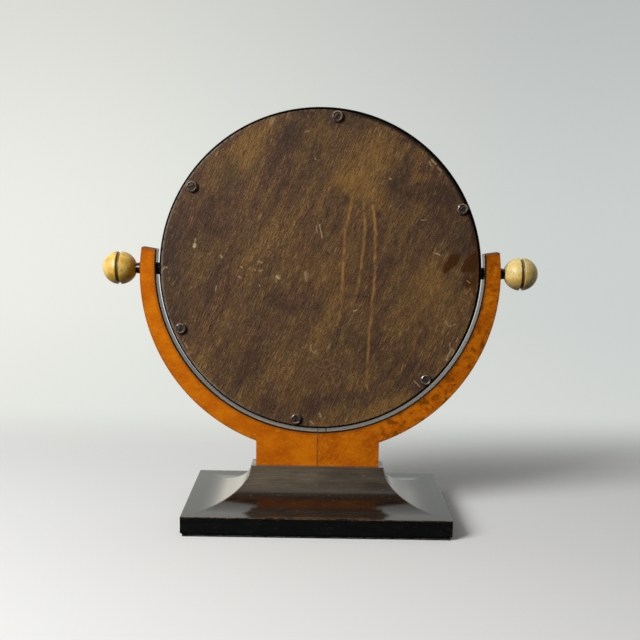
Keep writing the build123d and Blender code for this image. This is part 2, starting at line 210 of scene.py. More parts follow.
class Recipe(Tree):
    """One material, with the colour built up coat by coat. Patterns read Object coordinates."""

    def __init__(self, name: str, ground: object, **constants: float) -> None:
        """Starts a material with a Principled surface.

        Args:
            name: The material's name.
            ground: The colour under the coats.
            constants: Values for sockets of the surface, by name with underscores.
        """
        self.material = bpy.data.materials.new(name)
        self.material.use_nodes = True
        super().__init__(self.material.node_tree)
        feeds = {key.replace("_", " "): value for key, value in constants.items()}
        self.surface = self.node("BsdfPrincipled", feeds)
        self.node("OutputMaterial", {"Surface": self.surface.outputs["BSDF"]})
        self.place = self.node("TexCoord", {}).outputs["Object"]
        self.colour = ground

    @cached_property
    def axes(self) -> tuple[Value, ...]:
        """X, Y and Z of the piece's own coordinates."""
        return self.parts(self.place)

    def cells(
        self, size: Point, lean: float = 0, centre: Point = (0, 0, 0), start: Socket | None = None
    ) -> Socket:
        """Pattern coordinates whose unit is a cell of a given size.

        Args:
            size: The cell's lengths along its own axes.
            lean: The cell's turn about Y in degrees.
            centre: Where the pattern's origin lies.
            start: Coordinates to use in place of the object's.

        Returns:
            The coordinates.
        """
        feeds = {
            "Vector": self.place if start is None else start,
            "Location": centre,
            "Rotation": (0, math.radians(lean), 0),
            "Scale": size,
        }
        return self.node("Mapping", feeds, vector_type="TEXTURE").outputs[0]

    def around(self, centre: Point) -> Socket:
        """Coordinates from a centre."""
        return self.cells((1, 1, 1), centre=centre)

    def radius(self, height: float) -> Value:
        """The distance from a line along Y at a height."""
        x, _, z = self.parts(self.around((0, 0, height)))
        return self.number("LENGTH", self.node("CombineXYZ", {"X": x, "Z": z}).outputs[0])

    def shaken(self, amount: float, cell: float, seed: float = 0.0) -> Socket:
        """Object coordinates pushed about by noise.

        Args:
            amount: The largest push.
            cell: The noise's feature size.
            seed: Picks another noise.

        Returns:
            The coordinates.
        """
        feeds = {"Vector": self.cells((cell,) * 3), "W": seed, "Scale": 1.0, "Detail": 2.0}
        colour = self.node("TexNoise", feeds, noise_dimensions="4D").outputs["Color"]
        centred = self.vector("ADD", colour, (-0.5, -0.5, -0.5))
        return self.vector("ADD", self.place, self.stretched(centred, 2 * amount))

    def coat(self, share: object, over: object) -> None:
        """Lays a colour over what is there."""
        self.colour = self.blend(share, self.colour, over)

    def relief(self, height: Value, strength: float, depth: float) -> None:
        """Feeds a bump from a height of 0 to 1 to the surface.

        Args:
            height: The height.
            strength: How much of the bump shows.
            depth: What a height of 1 stands for.
        """
        feeds = {"Height": height, "Strength": strength, "Distance": depth}
        self.feed(self.surface.inputs["Normal"], self.node("Bump", feeds).outputs[0])

    def finish(self, roughness: Value) -> bpy.types.Material:
        """Feeds the colour and the roughness, and hands back the material."""
        self.feed(self.surface.inputs["Base Color"], self.colour)
        self.feed(self.surface.inputs["Roughness"], roughness)
        return self.material


@dataclass(frozen=True)
class Grain:
    """Soft noise with one feature a cell; a lean turns the cell about Y, in degrees."""

    cell: Point
    detail: float = 2.0
    rough: float = 0.5
    seed: float = 0.0
    lean: float = 0.0
    swirl: float = 0.0

    def on(self, recipe: Recipe, start: Socket | None = None) -> Value:
        """Adds the noise to a recipe.

        Args:
            recipe: The recipe.
            start: Coordinates to use in place of the object's.

        Returns:
            The noise, from 0 to 1.
        """
        feeds = {
            "Vector": recipe.cells(self.cell, self.lean, start=start),
            "W": self.seed,
            "Scale": 1.0,
            "Detail": self.detail,
            "Roughness": self.rough,
            "Distortion": self.swirl,
        }
        return Value(recipe, recipe.node("TexNoise", feeds, noise_dimensions="4D").outputs[0])


class Finish(Protocol):
    """Anything that makes a material."""

    def material(self) -> bpy.types.Material:
        """The finished material."""


class Measure(Tree):
    """A shared node group that measures a point against a shape."""

    def __init__(self, name: str, *givens: str) -> None:
        """Starts the group.

        Args:
            name: The group's name.
            givens: Its vector inputs after the point.
        """
        super().__init__(bpy.data.node_groups.new(name, "ShaderNodeTree"))
        for label in ("Point", *givens):
            self.tree.interface.new_socket(label, in_out="INPUT", socket_type="NodeSocketVector")
        self.tree.interface.new_socket("Distance", in_out="OUTPUT", socket_type="NodeSocketFloat")
        self.given = self.tree.nodes.new("NodeGroupInput").outputs
        self.result = self.tree.nodes.new("NodeGroupOutput").inputs["Distance"]


@cache
def stroke_distance() -> bpy.types.NodeTree:
    """Measures a point's distance from a straight stroke.

    Returns:
        The shared group.
    """
    sums = Measure("distance_from_stroke", "Start", "End")
    reach = sums.vector("SUBTRACT", sums.given["Point"], sums.given["Start"])
    line = sums.vector("SUBTRACT", sums.given["End"], sums.given["Start"])
    reached = sums.number("DOT_PRODUCT", reach, line)
    along = sums.math("DIVIDE", reached, sums.number("DOT_PRODUCT", line, line))
    within = sums.node("Clamp", {"Value": along}).outputs[0]
    away = sums.vector("SUBTRACT", reach, sums.stretched(line, within))
    sums.feed(sums.result, sums.number("LENGTH", away))
    return sums.tree


@cache
def oval_distance() -> bpy.types.NodeTree:
    """Measures a point's distance from an oval's centre, 1 on its outline.

    Returns:
        The shared group.
    """
    sums = Measure("distance_in_oval", "Centre", "Across", "Along")
    reach = sums.vector("SUBTRACT", sums.given["Point"], sums.given["Centre"])
    squares = []
    for axis in ("Across", "Along"):
        share = sums.number("DOT_PRODUCT", reach, sums.given[axis])
        squares.append(share * share)
    sums.feed(sums.result, sums.math("SQRT", squares[0] + squares[1]))
    return sums.tree


def on_board(spot: Span) -> Point:
    """A spot in millimetres from the disc's centre, as a point on the board's back."""
    return spot[0] * MM, RING_BACK, PIVOT_HEIGHT + spot[1] * MM


@dataclass(frozen=True)
class Mark:
    """A drip, scratch or fleck on the board: a path, half its width and the softness of its edge."""

    path: tuple[Span, ...]
    half_width: float
    softness: float = 0.8
    strength: float = 1.0

    def cover(self, recipe: Recipe, where: Socket) -> Value:
        """Draws the mark.

        Args:
            recipe: The board's recipe.
            where: The coordinates to draw in.

        Returns:
            How much it covers, from 0 to 1.
        """
        near: Value | None = None
        for start, end in zip(self.path, self.path[1:]):
            feeds = {"Point": where, "Start": on_board(start), "End": on_board(end)}
            away = Value(recipe, recipe.node("Group", feeds, node_tree=stroke_distance()).outputs[0])
            near = away if near is None else recipe.math("MINIMUM", near, away)
        outer = (self.half_width + self.softness) * MM
        inner = max(self.half_width - self.softness, 0) * MM
        return near.ramp(outer, inner, self.strength)


@dataclass(frozen=True)
class Patch:
    """A soft-edged oval on the board: its radii, its turn in degrees and its edge as a share."""

    centre: Span
    radii: Span
    turn: float = 0.0
    edge: float = 0.35
    strength: float = 1.0

    def cover(self, recipe: Recipe, where: Socket) -> Value:
        """Draws the patch.

        Args:
            recipe: The board's recipe.
            where: The coordinates to draw in.

        Returns:
            How much it covers, from 0 to 1.
        """
        turn, wide, tall = math.radians(self.turn), self.radii[0] * MM, self.radii[1] * MM
        feeds = {
            "Point": where,
            "Centre": on_board(self.centre),
            "Across": (math.cos(turn) / wide, 0.0, math.sin(turn) / wide),
            "Along": (-math.sin(turn) / tall, 0.0, math.cos(turn) / tall),
        }
        share = Value(recipe, recipe.node("Group", feeds, node_tree=oval_distance()).outputs[0])
        return share.ramp(1 + self.edge, 1 - self.edge, self.strength)


def laid(recipe: Recipe, where: Socket, shapes: Sequence[Mark | Patch]) -> Value:
    """How much a set of marks or patches covers, from 0 to 1.

    Args:
        recipe: The material.
        where: The coordinates that they are drawn in.
        shapes: The marks or patches.

    Returns:
        The coverage.
    """
    cover: object = 0.0
    for shape in shapes:
        cover = recipe.most(cover, shape.cover(recipe, where))
    return cover


@dataclass(frozen=True)
class StainedBoard:
    """Thin board with a brushed dark stain, run by drips and rubbed pale in places."""

    ground: Colour = srgb(97, 70, 45)
    shade: Colour = srgb(62, 47, 40)
    violet: Colour = srgb(86, 59, 44)
    ochre: Colour = srgb(140, 102, 50)
    pale: Colour = srgb(186, 160, 122)
    wet: Colour = srgb(66, 37, 11)
    hair: Colour = srgb(158, 127, 82)
    pore: Colour = srgb(36, 26, 20)
    drip: Colour = srgb(158, 115, 58)
    swirl: Colour = srgb(136, 104, 74)
    # Colour of the dirt spots and of the painted shadows beside the screw cups.
    dirt_and_shadow: Colour = srgb(28, 21, 17)
    worn_rim: Colour = srgb(124, 100, 72)
    rim_shadow: Colour = srgb(24, 18, 14)
    rim_highlight: Colour = srgb(150, 140, 124)

    clouds: Grain = Grain((0.070, 0.03, 0.042), 5, 0.62, lean=-63)
    bands: Grain = Grain((0.070, 0.02, 0.0085), 4, 0.6, seed=3, lean=-63)
    hairs: Grain = Grain((0.011, 0.01, 0.0009), 2, 0.6, seed=5, lean=-67)
    crossed_hairs: Grain = Grain((0.008, 0.01, 0.0009), 2, 0.6, seed=7, lean=-54)
    grit: Grain = Grain((0.0018, 0.01, 0.0014), 2, 0.8, seed=9, lean=-63)
    rim_noise: Grain = Grain((0.004,) * 3, 3, 0.6, seed=25)
    drip_breaks: Grain = Grain((0.005, 0.01, 0.012), 2, 0.6, seed=29)

    screw_ring: float = 166.2
    screw_bearings: tuple[float, ...] = (24.9, 85.0, 147.5, 202.9, 261.1, 314.9)
    screw_shadow_shift: Span = (2.1, -1.2)
    screw_shadow_length: float = 0.3
    screw_shadow_half_width: float = 6.5
    worn_rim_reach: Span = (0.1696, 0.1716)
    rim_shadow_reach: Span = (0.1688, 0.1708)
    rim_highlight_reach: Span = (0.1708, 0.1718)
    rim_shadow_from_x: Span = (0.01, 0.05)
    rim_shadow_from_z: Span = (0.30, 0.34)
    rim_highlight_from_x: Span = (-0.05, -0.12)

    drips = (
        Mark(((32.6, 83), (30.6, 66.4), (25.8, 44.7), (25.1, 13.4), (24.4, -20.7)), 0.9, 1.8, 0.8),
        Mark(((24.4, -20.7), (22.8, -40), (19.6, -58.4)), 0.8, 2, 0.65),
        Mark(((44.8, 74.9), (47.2, 52.3), (46.9, 33.1), (44.5, 13.7), (41.9, -13.1)), 0.8, 1.8, 0.7),
        Mark(((41.9, -13.1), (38, -26), (34.6, -36)), 0.9, 2.1, 0.5),
        Mark(((55.4, 72), (58.8, 44.5), (59.3, 4.3), (58.2, -20)), 1, 1.8, 0.9),
        Mark(((58.2, -20), (56.1, -44.7), (54, -81.8), (52.5, -121.9), (57.1, -136.9)), 0.8, 1.9, 0.65),
    )
    flecks = (
        Mark(((-136.4, 27.4), (-137, 25)), 1.4, 0.9), Mark(((-135.9, 33), (-136.2, 30)), 0.7, 0.6, 0.6),
        Mark(((-1.9, 51), (1.3, 36.4)), 0.55, 0.5, 0.75), Mark(((-5, 49), (-4.2, 42)), 0.5, 0.9, 0.4),
        Mark(((-108, 15.6), (-107.2, 13.6)), 1, 0.8, 0.6),
        Mark(((-88.6, -6.7), (-87.4, -7.9)), 1.1, 0.9, 0.5), Mark(((-86, 4), (-85.2, 3.2)), 0.7, 0.5, 0.85),
        Mark(((-67.6, 9.9), (-63.4, 8.6)), 0.8, 0.8, 0.5), Mark(((-66.6, -0.2), (-64.4, 0.6)), 0.8, 0.7, 0.5),
        Mark(((-71.3, 1), (-70.7, 0.7)), 0.7, 0.5, 0.6), Mark(((-47.6, -6), (-44.9, -8)), 1.2, 0.8, 0.9),
        Mark(((-46.4, -4.4), (-43.8, -4.9)), 0.6, 0.6, 0.5),
        Mark(((-66.3, -15.6), (-65.9, -17)), 0.7, 0.6, 0.7),
        Mark(((-112.9, -17.5), (-113.8, -21.6)), 0.6, 0.5, 0.7),
        Mark(((-16.3, -1), (-15.3, -9.6)), 1.4, 1.5, 0.42), Mark(((-12.8, -2.6), (-13.6, -6)), 0.8, 0.9, 0.3),
        Mark(((124.4, 22), (129, 20.2)), 0.5, 0.5, 0.9), Mark(((37, -42.6), (41, -41)), 0.6, 0.5, 0.85),
        Mark(((138, -52), (139.8, -56.2), (144, -57.8), (149, -55.4)), 0.45, 0.6, 0.55),
        Mark(((145.9, -82.4), (143.2, -88.4)), 0.8, 0.9, 0.6),
        Mark(((148.3, -84), (146.6, -91.2)), 0.6, 0.8, 0.6),
        Mark(((141.8, -90.6), (140.4, -95.6)), 1, 1, 0.6), Mark(((143.2, -76), (143.9, -83)), 0.4, 0.6, 0.5),
        Mark(((150.6, -75), (151.9, -70.5)), 0.5, 0.6, 0.6),
        Mark(((105.8, -119.4), (111.9, -125.8)), 0.6, 0.7, 0.55),
        Mark(((-172, -1.2), (-169, 2.3), (-166.6, 2)), 0.9, 0.8, 0.5),
        Mark(((-147.4, -81.6), (-145, -86.6)), 0.8, 0.9, 0.45),
        Mark(((1.6, -158), (3.2, -161.6)), 1.1, 0.9, 0.5),
        Mark(((-8.6, -167), (-5.4, -169.6)), 0.8, 0.7, 0.6),
        Mark(((107.4, 57.3), (113.6, 57.9)), 0.45, 0.6, 0.5),
        Mark(((72.4, 100.9), (73.8, 100.5)), 0.8, 0.6, 0.7),
        Mark(((-7.9, 120.8), (-7, 120.2)), 0.7, 0.6, 0.5),
        Mark(((-18.4, 148.4), (-15.2, 149.9)), 0.6, 0.7, 0.45),
        Mark(((-55, 156.5), (-52.6, 161.6)), 1.2, 1.6, 0.32),
        Mark(((-16, 166.5), (-15, 163.6)), 0.5, 0.6, 0.3),
        Mark(((159.4, -7.2), (162.6, -9.3)), 0.5, 0.5, 0.8),
        Mark(((43, 113.5), (41.8, 107.8)), 0.35, 0.5, 0.4),
        Mark(((11.9, -79.4), (10.4, -84.6)), 0.9, 1.2, 0.3),
        Mark(((-9, -80.6), (-9.8, -84.8), (-6.8, -88.6)), 0.6, 0.9, 0.4),
        Mark(((-4, -87), (-4.8, -89.6)), 0.9, 0.8, 0.4), Mark(((102, 138.4), (105.2, 135.9)), 0.5, 0.6, 0.8),
        Mark(((107.7, 133.6), (108.8, 132.4)), 0.5, 0.5, 0.7),
        Mark(((116.9, 121.7), (121.2, 117.6)), 0.7, 0.9, 0.7),
        Mark(((114.6, 119.4), (116.6, 115.4)), 0.6, 0.8, 0.5),
        Mark(((124, 113.4), (127.4, 110.2)), 0.6, 0.9, 0.5),
    )
    swirls = (
        Mark(((-8, -98), (-2, -104.6), (7, -106), (15, -101), (24, -103)), 0.7, 1.2, 0.40),
        Mark(((-10, -103), (-3, -109), (8, -111), (19, -107.4), (30, -111)), 0.6, 1.1, 0.32),
        Mark(((33, -86), (36.4, -97), (33, -107.6), (26, -114)), 0.7, 1.2, 0.34),
        Mark(((-1, -94), (3.6, -98.4), (10, -97)), 0.8, 1.4, 0.36),
        Mark(((14, -113), (16, -121), (21, -127), (25, -121)), 0.7, 1.3, 0.36),
        Mark(((5, -118), (9.4, -124), (10.8, -133)), 0.6, 1.1, 0.26),
    )
    dark_spots = (
        Mark(((7.1, 20.3), (7.9, 19.2)), 1.1, 1.2, 0.6), Mark(((49.2, -25.8), (49.9, -27.4)), 1, 0.8, 0.6),
        Mark(((-160, 6), (-159, 3)), 0.8, 1, 0.3),
    )
    spill = (
        Patch((39, 99), (19, 11), 35, 0.45), Patch((21, 97), (8, 7.5), 0, 0.4, 0.8),
        Patch((52, 88), (17, 10), -25, 0.6, 0.8), Patch((35, 87), (5, 9), 0, 0.5, 0.7),
        Patch((48, 118), (30, 16), 30, 0.8, 0.55), Patch((62, 76), (9, 7), 0, 0.7, 0.55),
        Patch((104.5, 103), (9, 5), 0, 0.4, 0.7), Patch((-88, 124), (42, 13), 48, 0.7, 0.6),
        Patch((70, -153), (34, 9), 24, 0.7, 0.75), Patch((2, 150), (6, 17), 0, 0.8, 0.55),
        Patch((-24, -146), (9, 16), -20, 0.9, 0.35), Patch((118, -20), (26, 34), -20, 1, 0.25),
        Patch((-8, -128), (30, 10), 10, 0.9, 0.2), Patch((6, 2), (32, 26), 20, 1, 0.35),
    )
    shades = (
        Patch((-101, 104), (13, 17), -20, 0.8, 0.8), Patch((-30, 146), (22, 10), 60, 0.8, 0.75),
        Patch((91, 140), (12, 3.5), -20, 0.6, 0.9), Patch((-6, 132), (10, 28), -20, 0.8, 0.6),
        Patch((-10, 103), (20, 12), 10, 0.8, 0.45), Patch((124, 84), (24, 15), 0, 0.6, 0.95),
        Patch((88, 92), (14, 20), 20, 0.8, 0.7), Patch((-150, 42), (24, 40), 10, 0.8, 0.55),
        Patch((-157, 44), (11, 22), 15, 0.8, 0.5), Patch((-128, 84), (16, 22), -30, 0.9, 0.5),
        Patch((40, -141), (19, 9), 10, 0.7, 0.6), Patch((92, -122), (26, 9), 40, 0.8, 0.5),
        Patch((-58, -40), (8, 34), -32, 0.8, 0.6), Patch((-70, -98), (34, 15), 35, 0.9, 0.55),
        Patch((22, 78), (9, 7), 0, 0.5, 0.55), Patch((147, 44), (24, 26), 0, 0.8, 0.7),
        Patch((-168, 4), (17, 76), 0, 0.7, 0.9), Patch((18, 168), (66, 14), 0, 0.7, 0.9),
        Patch((162, 62), (14, 46), 20, 0.7, 0.7), Patch((100, 30), (48, 20), 20, 0.9, 0.3),
        Patch((-12, -155), (34, 10), 12, 0.9, 0.35),
    )
    wet_patches = (
        Patch((138.6, 8.4), (4.2, 9.6), -32, 0.2), Patch((142, 12.6), (4.6, 10.4), -26, 0.2),
        Patch((146.6, 15), (4, 8), -22, 0.2), Patch((159, 9), (4.6, 9.2), -26, 0.2),
        Patch((163, 12), (5.2, 11), -22, 0.2), Patch((167.6, 13), (4.6, 12.6), -10, 0.2),
        Patch((170.6, 12), (3, 22), 4, 0.25, 0.9), Patch((161, -9.8), (4.8, 6.4), 0, 0.25, 0.95),
        Patch((166.8, -10), (3.6, 9), 0, 0.3, 0.9), Patch((168.8, -18), (2.6, 14), 10, 0.4, 0.8),
        Patch((165.6, 36), (2.2, 10), 14, 0.5, 0.7), Patch((152, -40), (2, 22), 16, 0.8, 0.25),
    )

    def painted_screw_shadows(self) -> tuple[Mark, ...]:
        """The painted shadow that lies low and to the right beside each screw cup.

        Returns:
            One mark a screw.
        """
        marks = []
        for bearing in self.screw_bearings:
            x = self.screw_ring * math.cos(math.radians(bearing)) + self.screw_shadow_shift[0]
            z = self.screw_ring * math.sin(math.radians(bearing)) + self.screw_shadow_shift[1]
            path = ((x, z), (x + self.screw_shadow_length, z - self.screw_shadow_length))
            marks.append(Mark(path, self.screw_shadow_half_width, 0.9, 0.8))
        return tuple(marks)

    def material(self) -> bpy.types.Material:
        """Streaks under soft stains, then drips, wet marks, flecks, painted shadows by the screw cups, and a
        worn edge with painted shade and a painted highlight.

        Returns:
            The material.
        """
        recipe = Recipe("stained_board", self.violet, IOR=1.45, Specular_IOR_Level=0.3)
        waved = recipe.shaken(0.009, 0.05)
        clouds = self.clouds.on(recipe, waved)
        bands = self.bands.on(recipe, waved)
        hairs = self.hairs.on(recipe)
        crossed = self.crossed_hairs.on(recipe)
        grit = self.grit.on(recipe)
        spilt = laid(recipe, recipe.shaken(0.0085, 0.013, 11), self.spill)
        shaded = laid(recipe, recipe.shaken(0.012, 0.02, 13), self.shades)
        recipe.coat(clouds.ramp(0.38, 0.54), self.ground)
        recipe.coat(clouds.ramp(0.50, 0.72, 0.5), self.ochre)
        recipe.coat(bands.ramp(0.50, 0.70, 0.46), self.ochre)
        recipe.coat(bands.ramp(0.49, 0.30, 0.62), self.shade)
        broken = (bands + hairs * 0.7).ramp(0.55, 0.95)
        recipe.coat(spilt * broken.scaled(0.45, 0.95), self.ochre)
        recipe.coat(shaded * 0.78, self.shade)
        lit = bands.ramp(0.38, 0.60).scaled(0.35, 1.0)
        recipe.coat(hairs.ramp(0.48, 0.36, 0.6), self.pore)
        recipe.coat(grit.ramp(0.46, 0.35, 0.8), self.pore)
        lit = lit * shaded.scaled(1.0, 0.3)
        recipe.coat(hairs.ramp(0.55, 0.67, 0.8) * lit, self.hair)
        recipe.coat(crossed.ramp(0.56, 0.68, 0.62) * clouds.ramp(0.40, 0.58), self.hair)
        recipe.coat(grit.ramp(0.57, 0.68, 0.85) * lit, self.hair)
        wet = self.stains(recipe)
        self.rim(recipe)
        gloss = hairs.scaled(0.40, 0.56) - wet * 0.2
        recipe.relief(hairs + grit * 0.6, 0.2, 0.0004)
        return recipe.finish(gloss)

    def stains(self, recipe: Recipe) -> Value:
        """Drips, wet marks, swirls, dirt spots, painted shadows by the screw cups, and flecks.

        Args:
            recipe: The board's recipe.

        Returns:
            How wet the board is, from 0 to 1.
        """
        thin = recipe.shaken(0.0016, 0.006, 17)
        run = laid(recipe, thin, self.drips)
        recipe.coat(run * self.drip_breaks.on(recipe).ramp(0.36, 0.62).scaled(0.2, 1.2), self.drip)
        wet = laid(recipe, recipe.shaken(0.0028, 0.007, 19), self.wet_patches)
        recipe.coat(wet * 0.85, self.wet)
        recipe.coat(laid(recipe, recipe.shaken(0.003, 0.008, 21), self.swirls), self.swirl)
        # Dirt spots, and a painted shadow below and to the right of each screw cup.
        recipe.coat(laid(recipe, thin, self.dark_spots + self.painted_screw_shadows()), self.dirt_and_shadow)
        recipe.coat(laid(recipe, recipe.shaken(0.0011, 0.0022, 23), self.flecks), self.pale)
        return wet

    def rim(self, recipe: Recipe) -> None:
        """The board's edge: rubbed in places, with painted shade at the upper right next to the ring, and a
        painted highlight at the left.

        Args:
            recipe: The board's recipe.
        """
        radius = recipe.radius(PIVOT_HEIGHT)
        noise = self.rim_noise.on(recipe)
        recipe.coat(radius.ramp(*self.worn_rim_reach) * noise.ramp(0.56, 0.72, 0.5), self.worn_rim)
        x, _, z = recipe.axes
        # Painted shade: the board's edge darkens at the upper right, where the ring's lip shades it.
        upper = x.ramp(*self.rim_shadow_from_x, 0.85) * z.ramp(*self.rim_shadow_from_z)
        recipe.coat(radius.ramp(*self.rim_shadow_reach) * upper, self.rim_shadow)
        # Painted highlight: a broken pale line along the board's edge at the left, towards the light.
        broken = x.ramp(*self.rim_highlight_from_x, 0.35) * noise.ramp(0.36, 0.5)
        recipe.coat(radius.ramp(*self.rim_highlight_reach) * broken, self.rim_highlight)


@dataclass(frozen=True)
class BirchVeneer:
    """Orange polished birch veneer, quiet on the left arm and figured on the right."""

    body: Colour = srgb(217, 119, 4)
    deep: Colour = srgb(190, 93, 2)
    dark: Colour = srgb(106, 56, 5)
    light: Colour = srgb(222, 138, 24)
    far_right: Colour = srgb(140, 72, 3)
    seam: Colour = srgb(66, 34, 12)

    broad: Grain = Grain((0.030, 0.030, 0.018), 3, 0.55, seed=1)
    fine: Grain = Grain((0.0035, 0.004, 0.0018), 3, 0.6, seed=4)
    speck: Grain = Grain((0.0011,) * 3, 2, 0.6, seed=6)
    blots: Grain = Grain((0.0085, 0.0085, 0.0075), 3, 0.62, seed=8, swirl=0.8)
    ribs: Grain = Grain((0.014, 0.014, 0.0012), 2, 0.5, seed=10, lean=-52)
    rib_fields: Grain = Grain((0.03,) * 3, 1, 0.5, seed=12)

    right_half: Span = (-0.0001, 0.0002)
    far_right_from: Span = (0.13, 0.18)
    figured_from: Span = (0.045, 0.085)
    knot: Point = (0.0207, -0.0135, 0.0757)
    knot_radii: Span = (0.0026, 0.0008)
    band_line: Span = (0.1809, 0.1803)
    band_shade: Span = (0.1845, 0.1806)
    outer_arc_height: float = 0.2688
    outer_arc: Span = (0.1945, 0.1964)
    foot_side: Span = (0.066, 0.071)
    seam_half: Span = (0.0007, 0.0002)
    seam_top: Span = (0.15, 0.14)
    arm_tip: Span = (0.2945, 0.3005)

    def material(self) -> bpy.types.Material:
        """Fine speckle, with blots and ribs on the right half, and dark lines where pieces meet.

        Returns:
            The material.
        """
        recipe = Recipe("polished_birch", self.deep, IOR=1.5, Specular_IOR_Level=0.16)
        x, _, z = recipe.axes
        right = x.ramp(*self.right_half)
        waved = recipe.shaken(0.004, 0.02, 2)
        broad = self.broad.on(recipe, waved)
        fine = self.fine.on(recipe, waved)
        speck = self.speck.on(recipe)
        recipe.coat(broad.ramp(0.34, 0.66), self.body)
        recipe.coat(fine.ramp(0.52, 0.70, 0.6), self.light)
        recipe.coat(fine.ramp(0.47, 0.32, 0.55), self.deep)
        recipe.coat(speck.ramp(0.42, 0.28, 0.45), self.dark)
        recipe.coat(right.scaled(0.0, 0.15), self.deep)
        recipe.coat(x.ramp(*self.far_right_from, 0.25), self.far_right)

        blots = self.blots.on(recipe, waved)
        recipe.coat(blots.ramp(0.48, 0.66, 0.75) * x.ramp(*self.figured_from).scaled(0.06, 1.0), self.dark)
        recipe.coat(speck.ramp(0.47, 0.36, 0.35) * right, self.dark)
        recipe.coat(blots.ramp(0.46, 0.32, 0.5) * right.scaled(0.25, 1.0), self.light)
        ribs = self.ribs.on(recipe, waved).ramp(0.52, 0.66, 0.36)
        fields = self.rib_fields.on(recipe).ramp(0.38, 0.55)
        recipe.coat(ribs * fields * right, self.dark)
        knot = recipe.number("LENGTH", recipe.around(self.knot))
        recipe.coat(knot.ramp(*self.knot_radii, 0.7), self.dark)
        tip = self.meeting_lines(recipe, fine)
        gloss = fine.scaled(0.26, 0.42) + tip * 0.6
        recipe.relief(fine * 0.5 + blots, 0.12, 0.0003)
        return recipe.finish(gloss)

    def meeting_lines(self, recipe: Recipe, fine: Value) -> Value:
        """Dark lines along the band, the outer arc, the seam and the tips.

        Args:
            recipe: The veneer's recipe.
            fine: Its fine noise.

        Returns:
            How far up a tip a point is, from 0 to 1.
        """
        x, _, z = recipe.axes
        radius = recipe.radius(PIVOT_HEIGHT)
        recipe.coat(radius.ramp(*self.band_line, 0.8), self.seam)
        recipe.coat(radius.ramp(*self.band_shade, 0.4), self.dark)
        outer = recipe.radius(self.outer_arc_height)
        recipe.coat(outer.ramp(*self.outer_arc) * abs(x).ramp(*self.foot_side, 0.45), self.dark)
        recipe.coat(abs(x).ramp(*self.seam_half, 0.9) * z.ramp(*self.seam_top), self.seam)
        tip = (z + fine * 0.004).ramp(*self.arm_tip, 0.6)
        recipe.coat(tip, self.dark)
        return tip


class Zone(Enum):
    """Where an ebonised piece sits, which sets the wear it shows."""

    BLOCK = "block"
    PLINTH = "plinth"
    RING = "ring"
    UNDERSIDE = "underside"


